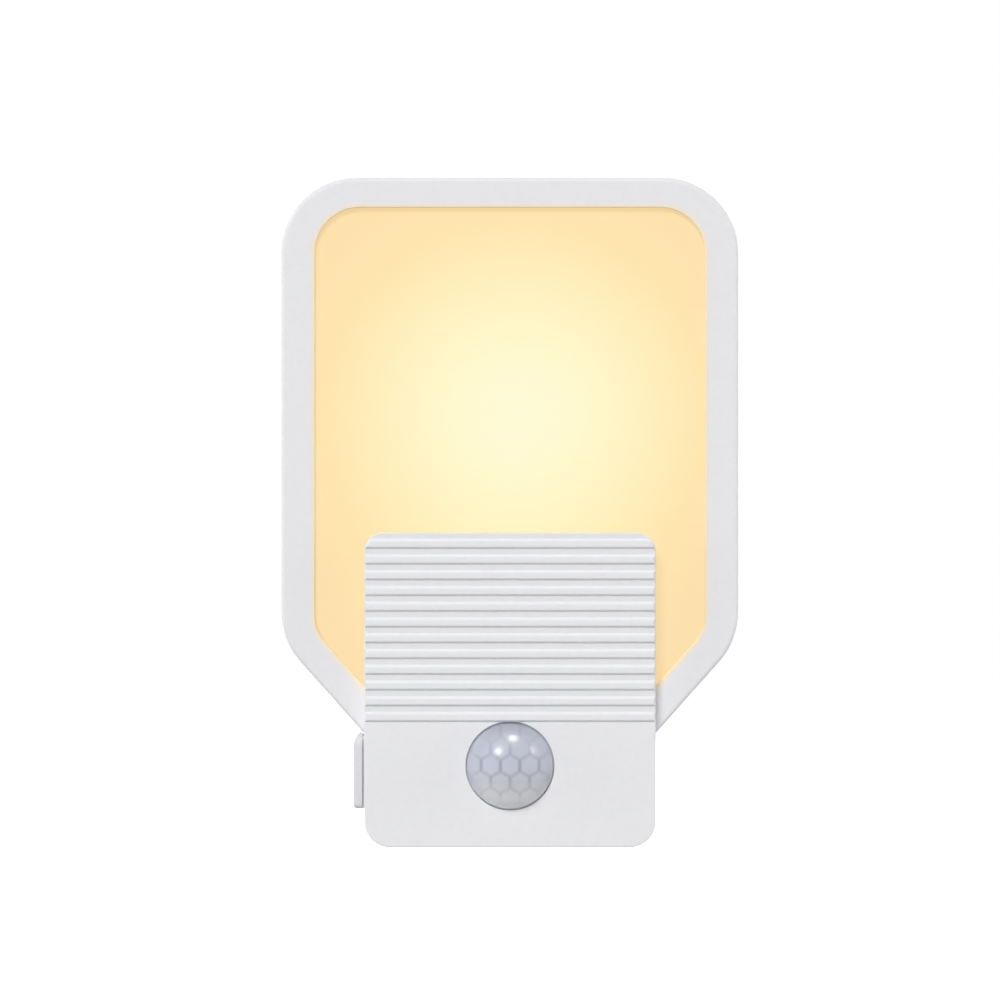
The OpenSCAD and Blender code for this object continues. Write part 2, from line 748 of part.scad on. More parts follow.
module reflector() {
    y_sheet = y_panel_floor - reflector_t;
    color([0.95, 0.95, 0.93])
    difference() {
        plate(panel_outline(skirt_wall + back_wall + 2 * fit_gap), y_sheet, y_panel_floor);
        sensor_notch(y_sheet - over, y_panel_floor + over);
        at_upper_screws() bar(0, 0, boss_hole_d, y_sheet - over, y_panel_floor + over);
        bar(0, lead_z, lead_pitch + lead_d + 2 * part_gap, y_sheet - over, y_panel_floor + over);
        translate([0, 0, lamp_z])
            box([-lamp_w / 2 - fit_gap, y_sheet - over, -lamp_h / 2 - fit_gap],
                [lamp_w / 2 + fit_gap, y_panel_floor + over, lamp_h / 2 + fit_gap]);
    }
}

module lamp_board() {
    color([0.92, 0.92, 0.90])
    difference() {
        translate([0, 0, lamp_z])
            box([-lamp_w / 2, y_lamp, -lamp_h / 2], [lamp_w / 2, y_panel_floor, lamp_h / 2]);
        at_lamp_screws() bar(0, 0, lamp_screw_d + fit_gap, y_lamp - over, y_panel_floor + over);
    }
}

module lamp_leds() {
    column = lamp_w / led_columns;
    row = lamp_h / led_rows;
    color([0.98, 0.86, 0.35])
    for (i = [0 : led_columns - 1]) for (k = [0 : led_rows - 1])
        translate([(i - (led_columns - 1) / 2) * column, y_lamp, lamp_z + (k - (led_rows - 1) / 2) * row])
            box([-led_w / 2, -led_t, -led_h / 2], [led_w / 2, 0, led_h / 2]);
}

module lamp_screws() {
    color(steel)
    at_lamp_screws() translate([0, y_lamp, 0]) rotate([0, 0, 180])
        screw(lamp_screw_d, board_t + lamp_screw_hold, lamp_screw_head_d, lamp_screw_head_h);
}

// Two insulated leads from the lamp board down and back through the panel to the power board
module lamp_leads() {
    y_run = y_lamp - lead_d / 2;
    z_start = lamp_z - lamp_h / 2 + lead_d;
    color([0.85, 0.85, 0.83])
    for (side = [-1, 1]) {
        x = side * lead_pitch / 2;
        rod(x, y_run, lead_d, lead_z, z_start);
        translate([x, y_run, lead_z]) sphere(d = lead_d);
        bar(x, lead_z, lead_d, y_run, y_power);
    }
}

module rear_housing() {
    color(white_shell)
    difference() {
        union() {
            difference() {
                loft(
                    [for (d = [0, 0, rear_edge]) body_outline(rear_inset + d)],
                    [y_panel_back, -rear_edge, 0]
                );
                plate(body_outline(rear_inset + shell_wall), y_panel_back - over, y_floor);
            }
            at_upper_screws() bar(0, 0, rear_boss_d, y_panel_back, y_floor / 2);
            at_lower_screws() bar(0, 0, rear_boss_d, y_sensor_back, y_floor / 2);
            for (side = [-1, 1]) for (z = [power_top - post_inset, power_bottom + post_inset])
                bar(side * (power_half - post_inset), z, post_d, y_power_back, y_floor / 2);
        }
        plate(insert_outline(fit_gap), y_floor - over, over);
        at_case_screws() {
            bar(0, 0, counterbore_d, y_seat, over);
            bar(0, 0, screw_hole_d, y_sensor_back - over, y_seat + over);
        }
    }
}

module case_screws() {
    color(steel)
    at_case_screws() translate([0, y_seat, 0]) screw(screw_d, screw_l, screw_head_d, screw_head_h);
}

module plug_insert() {
    color(white_inner)
    difference() {
        union() {
            plate(insert_outline(0), y_power_back, -insert_recess);
            plate(insert_outline(insert_flange), y_power_back, y_floor);
        }
        for (side = [-1, 1]) translate([side * blade_pitch / 2, 0, 0])
            box([-blade_t / 2, y_power_back - over, -blade_h / 2], [blade_t / 2, over, blade_h / 2]);
    }
}

module plug_blades() {
    y_tail = y_power - leg_d;
    wide = blade_h / 2;
    slim = blade_tail_h / 2;
    color(brass)
    for (side = [-1, 1]) translate([side * blade_pitch / 2 - blade_t / 2, 0, 0])
        difference() {
            rotate([90, 0, 90]) linear_extrude(blade_t) polygon([
                [y_tail, -slim], [y_power_back, -slim], [y_power_back, -wide], [blade_l - blade_tip, -wide],
                [blade_l, blade_tip - wide], [blade_l, wide - blade_tip], [blade_l - blade_tip, wide],
                [y_power_back, wide], [y_power_back, slim], [y_tail, slim]
            ]);
            translate([-over, blade_l - blade_hole_back, 0]) rotate([0, 90, 0])
                cylinder(d = blade_hole_d, h = blade_t + 2 * over);
        }
}

// Pins of the link between the two boards
module at_link_pins() {
    first = link_x - (link_count - 1) / 2 * link_pitch;
    for (i = [0 : link_count - 1]) translate([first + i * link_pitch, 0, link_z]) children();
}

module power_board() {
    color(board_green)
    difference() {
        box([-power_half, y_power, power_bottom], [power_half, y_power_back, power_top]);
        for (side = [-1, 1]) translate([side * blade_pitch / 2, 0, 0])
            box([-blade_t / 2 - fit_gap, y_power - over, -blade_tail_h / 2 - fit_gap],
                [blade_t / 2 + fit_gap, y_power_back + over, blade_tail_h / 2 + fit_gap]);
        at_link_pins() bar(0, 0, link_pin * sqrt(2) + fit_gap, y_power - over, y_power_back + over);
    }
}

module film_capacitor() {
    color([0.72, 0.20, 0.14])
    box([-row_x, y_power - film_h, row_z - film_t], [film_w - row_x, y_power, row_z]);
}

module filter_capacitor() {
    color([0.15, 0.18, 0.30])
    bar(row_x - filter_d / 2, row_z - filter_d / 2, filter_d, y_power - filter_h, y_power);
}

module bridge_rectifier() {
    color(black_part)
    translate([-row_x, y_power, middle_z])
        box([0, -bridge_h, -bridge_l / 2], [bridge_w, 0, bridge_l / 2]);
}

// Resistor lying along X on its two bent legs
module fuse_resistor() {
    x_first = -row_x + 2 * leg_d;
    x_last = x_first + fuse_l;
    color([0.45, 0.62, 0.68])
    union() {
        translate([x_first, y_fuse, fuse_z]) rotate([0, 90, 0]) cylinder(d = fuse_d, h = fuse_l);
        translate([x_first - leg_d, y_fuse, fuse_z]) rotate([0, 90, 0])
            cylinder(d = leg_d, h = fuse_l + 2 * leg_d);
        for (x = [x_first - leg_d, x_last + leg_d]) {
            translate([x, y_fuse, fuse_z]) sphere(d = leg_d);
            bar(x, fuse_z, leg_d, y_fuse, y_power);
        }
    }
}

module varistor() {
    x = row_x - varistor_t / 2;
    color([0.20, 0.34, 0.62])
    union() {
        translate([x - varistor_t / 2, y_varistor, middle_z]) rotate([0, 90, 0])
            cylinder(d = varistor_d, h = varistor_t);
        for (side = [-1, 1]) bar(x, middle_z + side * varistor_d / 4, leg_d, y_varistor, y_power);
    }
}

module link_bar() {
    wide = link_count * link_pitch / 2;
    color(black_part)
    difference() {
        translate([link_x, y_sensor_back, link_z])
            box([-wide, 0, -link_bar_w / 2], [wide, link_bar_w, link_bar_w / 2]);
        at_link_pins() box([-link_pin / 2, y_sensor_back - over, -link_pin / 2],
            [link_pin / 2, y_sensor_back + link_bar_w + over, link_pin / 2]);
    }
}

module link_pins() {
    color(brass)
    at_link_pins() box([-link_pin / 2, y_sensor - link_tail, -link_pin / 2],
        [link_pin / 2, y_power_back + link_tail, link_pin / 2]);
}

// Three legs of the sensor can on their circle
module at_sensor_legs() {
    for (a = [30, 150, 270])
        translate([cos(a) * can_leg_circle / 2, 0, lens_z + sin(a) * can_leg_circle / 2]) children();
}

// Terminals of the switch in one row behind its slider
module at_switch_terminals() {
    x = (slider_x + slider_far_x) / 2;
    for (i = [-1.5 : 1 : 1.5]) translate([x, 0, switch_z + i * terminal_pitch]) children();
}

module sensor_board() {
    corner = max(body_bottom_radius - shell_wall, corner_least);
    height = sensor_top - sensor_bottom;
    middle = sensor_bottom + height / 2;
    color(board_green)
    difference() {
        union() {
            translate([0, 0, middle])
                plate(box_outline(2 * sensor_half, height, corner), y_sensor, y_sensor_back);
            box([-tongue_half, y_sensor, middle], [tongue_half, y_sensor_back, tongue_top]);
        }
        at_lower_screws() bar(0, 0, screw_hole_d, y_sensor - over, y_sensor_back + over);
        at_sensor_legs() bar(0, 0, leg_hole_d, y_sensor - over, y_sensor_back + over);
        at_link_pins() bar(0, 0, link_pin * sqrt(2) + fit_gap, y_sensor - over, y_sensor_back + over);
        at_switch_terminals()
            bar(0, 0, terminal_w * sqrt(2) + fit_gap, y_sensor - over, y_sensor_back + over);
    }
}

module sensor_hood() {
    color(black_part)
    difference() {
        bar(0, lens_z, hood_d, y_flange, y_sensor);
        bar(0, lens_z, hood_bore, y_flange - over, y_sensor + over);
    }
}

module sensor_can() {
    color(steel)
    difference() {
        union() {
            bar(0, lens_z, can_d, y_can, y_sensor);
            bar(0, lens_z, can_foot_d, y_sensor - can_foot_t, y_sensor);
        }
        translate([0, y_can, lens_z])
            box([-window_w / 2, -over, -window_h / 2], [window_w / 2, window_t, window_h / 2]);
    }
}

module sensor_window() {
    color([0.30, 0.28, 0.34])
    translate([0, y_can, lens_z])
        box([-window_w / 2, 0, -window_h / 2], [window_w / 2, window_t, window_h / 2]);
}

module sensor_legs() {
    color(steel)
    at_sensor_legs() bar(0, 0, leg_d, y_sensor, y_sensor_back + link_tail);
}

module light_sensor() {
    color([0.35, 0.30, 0.24])
    translate([0, y_sensor, eye_z]) box([-eye_w / 2, -eye_t, -eye_w / 2], [eye_w / 2, 0, eye_w / 2]);
}

module control_chip() {
    pin_pitch = chip_l / 4;
    color(black_part)
    translate([chip_x, y_sensor, chip_z])
        union() {
            box([-chip_w / 2, -chip_t, -chip_l / 2], [chip_w / 2, 0, chip_l / 2]);
            for (i = [-1.5 : 1 : 1.5]) translate([0, 0, i * pin_pitch])
                box([-chip_w / 2 - part_gap / 2, -chip_t / 4, -pin_pitch / 6],
                    [chip_w / 2 + part_gap / 2, 0, pin_pitch / 6]);
        }
}

module chip_capacitor() {
    color([0.60, 0.62, 0.66])
    bar(chip_cap_x, lens_z, chip_cap_d, y_sensor - chip_cap_h, y_sensor);
}

// Folded sheet metal frame, open towards the board, with the slot for the slider's stem
module switch_frame() {
    slot_h = stem_h / 2 + slide_gap;
    slot_d = stem_d / 2 + slide_gap;
    color(steel)
    difference() {
        box([switch_x, y_switch, switch_z - switch_l / 2],
            [switch_x + switch_w, y_sensor, switch_z + switch_l / 2]);
        box([switch_x + sheet_t, y_switch + sheet_t, switch_z - switch_l / 2 + sheet_t],
            [switch_x + switch_w - sheet_t, y_sensor + over, switch_z + switch_l / 2 - sheet_t]);
        box([switch_x - over, stem_y - slot_d, knob_z - knob_travel - slot_h],
            [switch_x + sheet_t + over, stem_y + slot_d, knob_z + slot_h]);
    }
}

module switch_base() {
    color([0.55, 0.38, 0.22])
    difference() {
        box([switch_x + sheet_t, y_switch_base, switch_z - switch_l / 2 + sheet_t],
            [switch_x + switch_w - sheet_t, y_sensor, switch_z + switch_l / 2 - sheet_t]);
        at_switch_terminals() box([-terminal_w / 2, y_switch_base - over, -terminal_w / 2],
            [terminal_w / 2, y_sensor + over, terminal_w / 2]);
    }
}

module switch_terminals() {
    color(brass)
    at_switch_terminals() box([-terminal_w / 2, y_switch_base, -terminal_w / 2],
        [terminal_w / 2, y_sensor_back + link_tail, terminal_w / 2]);
}

module switch_slider() {
    color(black_part)
    union() {
        box([slider_x, y_slider_front, knob_z - slider_l / 2],
            [slider_far_x, y_slider_back, knob_z + slider_l / 2]);
        box([stem_end_x, stem_y - stem_d / 2, knob_z - stem_h / 2],
            [slider_x + over, stem_y + stem_d / 2, knob_z + stem_h / 2]);
    }
}

module switch_contact() {
    color(brass)
    box([slider_x, y_slider_back, knob_z - slider_l / 2],
        [slider_far_x, y_slider_back + sheet_t, knob_z + slider_l / 2]);
}

front_cover();
bezel_frame();
diffuser();
pir_lens();
switch_knob();
panel_back();
reflector();
lamp_board();
lamp_leds();
lamp_screws();
lamp_leads();
rear_housing();
case_screws();
plug_insert();
plug_blades();
power_board();
film_capacitor();
filter_capacitor();
bridge_rectifier();
fuse_resistor();
varistor();
link_bar();
link_pins();
sensor_board();
sensor_hood();
sensor_can();
sensor_window();
sensor_legs();
light_sensor();
control_chip();
chip_capacitor();
switch_frame();
switch_base();
switch_terminals();
switch_slider();
switch_contact();
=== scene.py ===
"""Plug-in night light with a motion sensor: pieces, finishes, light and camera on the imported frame."""
import math

import bmesh
import bpy
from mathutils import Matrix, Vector


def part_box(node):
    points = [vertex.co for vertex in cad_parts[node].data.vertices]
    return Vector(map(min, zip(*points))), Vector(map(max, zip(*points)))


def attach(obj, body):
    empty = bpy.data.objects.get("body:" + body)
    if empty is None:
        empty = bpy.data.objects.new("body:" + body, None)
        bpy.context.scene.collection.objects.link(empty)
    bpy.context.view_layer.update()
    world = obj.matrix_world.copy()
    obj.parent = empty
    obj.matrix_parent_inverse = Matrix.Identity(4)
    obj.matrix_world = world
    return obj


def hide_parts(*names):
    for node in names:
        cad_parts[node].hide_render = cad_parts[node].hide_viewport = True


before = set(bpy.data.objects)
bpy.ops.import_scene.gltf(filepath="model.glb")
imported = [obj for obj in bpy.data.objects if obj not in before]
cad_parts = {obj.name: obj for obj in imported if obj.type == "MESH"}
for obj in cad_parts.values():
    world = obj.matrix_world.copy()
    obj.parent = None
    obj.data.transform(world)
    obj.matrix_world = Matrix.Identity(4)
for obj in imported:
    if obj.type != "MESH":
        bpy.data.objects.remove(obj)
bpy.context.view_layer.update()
MM = 0.001


# Sizes in millimetres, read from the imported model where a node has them
def box_mm(node):
    low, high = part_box(node)
    return [v / MM for v in low], [v / MM for v in high]


def box_middle(low, high):
    return [(a + b) / 2 for a, b in zip(low, high)]


COVER_LOW, COVER_HIGH = box_mm("front_cover")
BEZEL_LOW, BEZEL_HIGH = box_mm("bezel_frame")
OPAL_LOW, OPAL_HIGH = box_mm("diffuser")
LENS_LOW, LENS_HIGH = box_mm("pir_lens")
KNOB_LOW, KNOB_HIGH = box_mm("switch_knob")
INSERT_LOW, INSERT_HIGH = box_mm("plug_insert")
BLADE_LOW, BLADE_HIGH = box_mm("plug_blades")
REAR_HIGH = box_mm("rear_housing")[1]

HALF_W = COVER_HIGH[0]
HALF_H = COVER_HIGH[2]
TOP_RADIUS = 3.1
BOTTOM_RADIUS = 4.5
WALL = 1.8
BODY_EDGE = 0.25
RIB_PROUD = 0.45
RIB_COUNT = 12
RIB_PITCH = 2.7
RIB_H = 1.75
RIB_LEAN = 0.18
RIB_START = 1.05
REAR_FLOOR = 2
REAR_CHAMFER = 1.2
Y_FRONT = COVER_LOW[1] + RIB_PROUD
Y_FRONT_IN = Y_FRONT + WALL
Y_SEAM = COVER_HIGH[1]
Y_REAR = REAR_HIGH[1]
Y_FLOOR = Y_REAR - REAR_FLOOR
Y_SENSOR_BOARD = box_mm("sensor_board")[0][1]

PANEL_HALF = BEZEL_HIGH[0]
PANEL_TOP = BEZEL_HIGH[2]
PANEL_BOTTOM = BEZEL_LOW[2]
TAPER = math.radians(48.5)
TUCK = 1.3
TUCK_X = HALF_W - TUCK
TAPER_Z = PANEL_BOTTOM + (PANEL_HALF - TUCK_X) * math.tan(TAPER)
PANEL_RADIUS = 13
PANEL_EDGE = 0.7
RIM_SIDE = 5.8
RIM_TOP = 5.15
RIM_SLANT = 5.5
OPENING_RADIUS = 7.8
OPENING_EDGE = 0.3
LIP_EASE = [1, 1.6, 0.9, 0.6, 0.6, 1.6]
LIP_RELIEF = 0.25
SKIRT = 1.5
FIT = 0.15
Y_PANEL = BEZEL_LOW[1]
Y_SKIRT = BEZEL_HIGH[1]
Y_LIP = OPAL_LOW[1]
Y_PANEL_BACK = box_mm("panel_back")[1][1]
LEAD_HOLE_Z = 8.05
LEAD_HOLE_R = 3

LENS_X, _, LENS_Z = box_middle(LENS_LOW, LENS_HIGH)
_, KNOB_Y, KNOB_Z = box_middle(KNOB_LOW, KNOB_HIGH)
LENS_HOLE_R = 7.6
LENS_R = 7.3
LENS_WALL = 0.8
LENS_COLLAR = 0.4
CELL_PITCH = 3.3
CELL_ROW = CELL_PITCH * math.sqrt(3) / 2
CELL_LINE = 0.55
CELL_GROOVE = 0.02
SLANTED_LINE = 0.62
CELL_RISE = 0.5

NOTCH_HALF = 12.2
NOTCH_TOP = LENS_Z + 9.35
BOSS_R = 3
BOSS_BORE_R = 1.5
COUNTERBORE_R = 2.75
SCREW_HOLE_R = 1.6
SCREW_POST_R = 4.15
SCREW_L = 12
SCREW_SEAT = box_mm("case_screws")[0][1] + SCREW_L
UPPER_SCREW = (18, 18)
LOWER_SCREW = (13.6, -20.5)
SCREW_PLACES = [(s * x, z) for x, z in (UPPER_SCREW, LOWER_SCREW) for s in (-1, 1)]

PLUG_HALF_W = 13
PLUG_HALF_H = 8
PLUG_RADIUS = 3
BLADE_HALF_T = 0.75
BLADE_X = BLADE_HIGH[0] - BLADE_HALF_T

BODY_CORNERS = [(-HALF_W, -HALF_H), (HALF_W, -HALF_H), (HALF_W, HALF_H), (-HALF_W, HALF_H)]
BODY_RADII = [BOTTOM_RADIUS, BOTTOM_RADIUS, TOP_RADIUS, TOP_RADIUS]
PANEL_CORNERS = [
    (-TUCK_X, PANEL_BOTTOM), (TUCK_X, PANEL_BOTTOM), (PANEL_HALF, TAPER_Z),
    (PANEL_HALF, PANEL_TOP), (-PANEL_HALF, PANEL_TOP), (-PANEL_HALF, TAPER_Z),
]
PANEL_RADII = [0.3, 0.3] + [PANEL_RADIUS] * 4
RIM_WIDTHS = [RIM_SLANT, RIM_SLANT, RIM_SIDE, RIM_TOP, RIM_SIDE, RIM_SLANT]
ARC = 20


# Outlines as points (x, z), counterclockwise as seen from the front
def corner_and_sides(corners, i):
    """Corner of an outline with the corners before and after it."""
    return [Vector(corners[k % len(corners)]) for k in (i, i - 1, i + 1)]


def inset_corners(corners, widths):
    moved = []
    for i in range(len(corners)):
        p, a, b = corner_and_sides(corners, i)
        e0 = (p - a).normalized()
        e1 = (b - p).normalized()
        start = a + Vector((-e0.y, e0.x)) * widths[i - 1]
        cross = p + Vector((-e1.y, e1.x)) * widths[i]
        along = (cross - start).cross(e1) / e0.cross(e1)
        moved.append(start + e0 * along)
    return moved


def rounded(corners, radii, steps=ARC):
    """Outline with rounded corners, as one arc for each corner."""
    arcs = []
    for i, radius in enumerate(radii):
        p, a, b = corner_and_sides(corners, i)
        u = (a - p).normalized()
        w = (b - p).normalized()
        half = math.acos(max(-1.0, min(1.0, u.dot(w)))) / 2
        centre = p + (u + w).normalized() * radius / math.sin(half)
        arm = p + u * radius / math.tan(half) - centre
        turns = [(math.pi - 2 * half) * k / steps for k in range(steps + 1)]
        arcs.append([(
            centre.x + arm.x * math.cos(t) - arm.y * math.sin(t),
            centre.y + arm.x * math.sin(t) + arm.y * math.cos(t),
        ) for t in turns])
    return arcs


def flat_list(arcs):
    return [p for arc in arcs for p in arc]


def inset_arcs(corners, radii, d, least=0.3, steps=ARC):
    """Rounded outline moved inwards, as one arc for each corner."""
    return rounded(inset_corners(corners, [d] * len(corners)), [max(r - d, least) for r in radii], steps)


def body_arcs(d):
    return inset_arcs(BODY_CORNERS, BODY_RADII, d)


def panel_arcs(d):
    return inset_arcs(PANEL_CORNERS, PANEL_RADII, d)


def opening_arcs(d):
    widths = [w + d * (k if -OPENING_EDGE <= d < 0 else 1) for w, k in zip(RIM_WIDTHS, LIP_EASE)]
    return rounded(inset_corners(PANEL_CORNERS, widths), [OPENING_RADIUS - d] * 6)


def box_points(x0, z0, x1, z1, radius, steps=8):
    return flat_list(rounded([(x0, z0), (x1, z0), (x1, z1), (x0, z1)], [radius] * 4, steps))


def circle_points(x, z, radius, count=48):
    turn = 2 * math.pi / count
    return [(x + radius * math.cos(turn * k), z + radius * math.sin(turn * k)) for k in range(count)]


def upper_screw_holes(radius, count=32):
    return [circle_points(s * UPPER_SCREW[0], UPPER_SCREW[1], radius, count) for s in (-1, 1)]


def panel_path(arcs):
    """Outline of the panel from its right foot over the top to its left foot, open at the bottom."""
    return [arcs[1][-1]] + arcs[2] + arcs[3] + arcs[4] + arcs[5] + [arcs[0][0]]


def panel_with_notch(d):
    """Outline of the panel with the space for the sensor cut out of its bottom edge."""
    low = PANEL_BOTTOM + d
    notch = [(-NOTCH_HALF, low), (-NOTCH_HALF, NOTCH_TOP), (NOTCH_HALF, NOTCH_TOP), (NOTCH_HALF, low)]
    arcs = panel_arcs(d)
    return arcs[0] + notch + flat_list(arcs[1:])


def shrink(points, d):
    """Outline moved inwards by a small distance along its own normals."""
    if not d:
        return points
    moved = []
    for i, p in enumerate(points):
        t = (Vector(points[(i + 1) % len(points)]) - Vector(points[i - 1])).normalized()
        moved.append((p[0] - t.y * d, p[1] + t.x * d))
    return moved


def rising(value, start, length):
    """Share between 0 and 1 that a value has reached of a length from its start."""
    return min(max((value - start) / length, 0), 1)


def quarter(count):
    return [math.pi / 2 * k / count for k in range(count + 1)]


def round_edge(edge, count):
    """Steps of a rounded edge, as how far each lies in from the side and back from the face."""
    return [(edge * (1 - math.cos(t)), edge * (1 - math.sin(t))) for t in quarter(count)]


def both_ends(steps, low, high):
    """Profile between two levels with the same steps at both ends, each with its distance from the end."""
    return [(d, low + y) for d, y in steps] + [(d, high - y) for d, y in reversed(steps)]


# Mesh making: rings of points joined by quads and closed by flat fills
SHARP_ANGLE = 30


def sharpen(mesh, angle=SHARP_ANGLE):
    mesh.set_sharp_from_angle(angle=math.radians(angle))


def linked(name, data):
    obj = bpy.data.objects.new(name, data)
    bpy.context.scene.collection.objects.link(obj)
    return obj


class Maker:
    def __init__(self):
        self.bm = bmesh.new()

    def loop(self, points):
        return [self.bm.verts.new([v * MM for v in point]) for point in points]

    def ring(self, points, level):
        return self.loop([(x, level, z) for x, z in points])

    def side_ring(self, x, points):
        return self.loop([(x, y, z) for y, z in points])

    def band(self, a, b, closed=True):
        count = len(a)
        for i in range(count if closed else count - 1):
            k = (i + 1) % count
            self.bm.faces.new((a[i], a[k], b[k], b[i]))

    def bands(self, rings, closed=True):
        for a, b in zip(rings, rings[1:]):
            self.band(a, b, closed)

    def cap(self, ring):
        self.bm.faces.new(ring)

    def fan(self, ring, tip):
        for i, vert in enumerate(ring):
            self.bm.faces.new((vert, ring[(i + 1) % len(ring)], tip))

    def solid(self, rings):
        """Skin over a stack of rings, closed at both ends."""
        self.bands(rings)
        self.cap(rings[0])
        self.cap(rings[-1])

    def fill(self, *loops):
        """Flat face bounded by the first loop, with the other loops as its holes."""
        edges = []
        for ring in loops:
            for i, a in enumerate(ring):
                b = ring[(i + 1) % len(ring)]
                edges.append(self.bm.edges.get((a, b)) or self.bm.edges.new((a, b)))
        bmesh.ops.triangle_fill(self.bm, use_beauty=True, use_dissolve=False, edges=edges)

    def drilled(self, rings, holes, front, back):
        """Skin over a stack of rings, closed at both ends, with holes through it."""
        self.bands(rings)
        fronts, backs = ([self.ring(hole, y) for hole in holes] for y in (front, back))
        for a, b in zip(fronts, backs):
            self.band(a, b)
        self.fill(rings[0], *fronts)
        self.fill(rings[-1], *backs)

    def sweep(self, rings):
        """Closed section along an open path: one ring for each point of the section."""
        self.bands(rings + rings[:1], closed=False)
        self.cap([r[0] for r in rings])
        self.cap([r[-1] for r in rings])

    def plate(self, outline, front, back, holes=(), edge=0.0):
        """Flat plate between two levels, with holes, its outer edge eased by a small bevel."""
        bevel = [(edge, 0), (0, edge)] if edge else [(0, 0)]
        rings = [self.ring(shrink(outline, d), y) for d, y in both_ends(bevel, front, back)]
        self.drilled(rings, holes, front, back)

    def tube(self, x, z, inner, outer, front, back):
        outline, hole = (circle_points(x, z, radius, 32) for radius in (outer, inner))
        out, bore = ([self.ring(points, y) for y in (front, back)] for points in (outline, hole))
        self.bands(out)
        self.bands(bore)
        self.band(out[0], bore[0])
        self.band(out[1], bore[1])

    def finish(self, name, sharp=SHARP_ANGLE):
        bmesh.ops.recalc_face_normals(self.bm, faces=self.bm.faces[:])
        for face in self.bm.faces:
            face.smooth = True
        mesh = bpy.data.meshes.new(name)
        self.bm.to_mesh(mesh)
        self.bm.free()
        sharpen(mesh, sharp)
        return linked(name, mesh)


# Node trees: named inputs and outputs, and nodes with their values and links
def new_tree(name, kind, inputs, outputs):
    tree = bpy.data.node_groups.new(name, kind)
    for way, sockets in (("INPUT", inputs), ("OUTPUT", outputs)):
        for label, socket in sockets.items():
            tree.interface.new_socket(label, in_out=way, socket_type="NodeSocket" + socket)
    return tree, tree.nodes.new("NodeGroupInput"), tree.nodes.new("NodeGroupOutput")


def set_input(entry, value):
    """Give an input a value, or link it to a pair of another node and one of its outputs."""
    if isinstance(value, tuple) and isinstance(value[0], bpy.types.Node):
        entry.id_data.links.new(value[0].outputs[value[1]], entry)
    else:
        entry.default_value = value


def set_values(node, *inputs, **values):
    """Set a node's settings, in small letters, its inputs by their names, and its inputs in their order."""
    for label, value in values.items():
        if label[0].islower():
            setattr(node, label, value)
        else:
            set_input(node.inputs[label.replace("_", " ")], value)
    for entry, value in zip(node.inputs, inputs):
        set_input(entry, value)
    return node


def add_node(tree, kind, *inputs, **values):
    """New node, its kind named without the word for shader or geometry that the tree gives it."""
    return set_values(tree.nodes.new(tree.bl_idname.replace("Tree", kind)), *inputs, **values)


# Geometry Nodes, turned into plain meshes
def shape_tree(name, **inputs):
    """Tree that takes a mesh, other inputs and a finish, and gives a mesh."""
    mesh = {"Geometry": "Geometry"}
    return new_tree(name, "GeometryNodeTree", {**mesh, **inputs, "Finish": "Material"}, mesh)


def add_copies(tree, points, model):
    """One real copy of the model on each point."""
    copies = add_node(tree, "InstanceOnPoints", Points=points, Instance=model)
    return add_node(tree, "RealizeInstances", Geometry=(copies, "Instances")), "Geometry"


def end_shape(tree, source, result, shape):
    paint = add_node(tree, "SetMaterial", Geometry=shape, Material=(source, "Finish"))
    set_values(result, Geometry=(paint, "Geometry"))
    return tree


def row_tree(name, operation):
    """Row of copies of the object's own mesh, or of a cutter, joined with another solid."""
    tree, source, result = shape_tree(name, Count="Int", First="Vector", Step="Vector", Other="Object")
    own = (source, "Geometry")
    other = (add_node(tree, "ObjectInfo", Object=(source, "Other")), "Geometry")
    line = add_node(
        tree, "MeshLine", mode="OFFSET", Count=(source, "Count"), Start_Location=(source, "First"),
        Offset=(source, "Step"))
    cutting = operation == "DIFFERENCE"
    row = add_copies(tree, (line, "Mesh"), other if cutting else own)
    solid = add_node(tree, "MeshBoolean", operation=operation, solver="EXACT", Mesh_2=row)
    if cutting:
        set_values(solid, Mesh_1=own)
    else:
        set_values(solid, Mesh_2=other)
    return end_shape(tree, source, result, (solid, "Mesh"))


def places_tree(name):
    """One copy of a model on each point of the object's own mesh."""
    tree, source, result = shape_tree(name, Model="Object")
    model = add_node(tree, "ObjectInfo", Object=(source, "Model"))
    return end_shape(tree, source, result, add_copies(tree, (source, "Geometry"), (model, "Geometry")))


def grown_by(obj, tree, values):
    """Give the object the tree, set its inputs, and keep the result as a plain mesh."""
    modifier = obj.modifiers.new(tree.name, "NODES")
    modifier.node_group = tree
    for item in tree.interface.items_tree:
        if item.in_out == "INPUT" and item.name in values:
            modifier[item.identifier] = values[item.name]
    graph = bpy.context.evaluated_depsgraph_get()
    mesh = bpy.data.meshes.new_from_object(obj.evaluated_get(graph))
    old = obj.data
    obj.modifiers.clear()
    obj.data = mesh
    mesh.name = obj.name
    bpy.data.meshes.remove(old)


def drop(obj):
    mesh = obj.data
    bpy.data.objects.remove(obj)
    bpy.data.meshes.remove(mesh)


# Shared effects of the finishes
def effect_tree(name, **inputs):
    """Tree that gives the colour, the roughness and the height at a place of a surface."""
    common = {
        "Vector": "Vector", "Colour": "Color", "Second Colour": "Color", "Gloss Low": "Float",
        "Gloss High": "Float",
    }
    outputs = {"Colour": "Color", "Roughness": "Float", "Height": "Float"}
    return new_tree(name, "ShaderNodeTree", {**common, **inputs}, outputs)


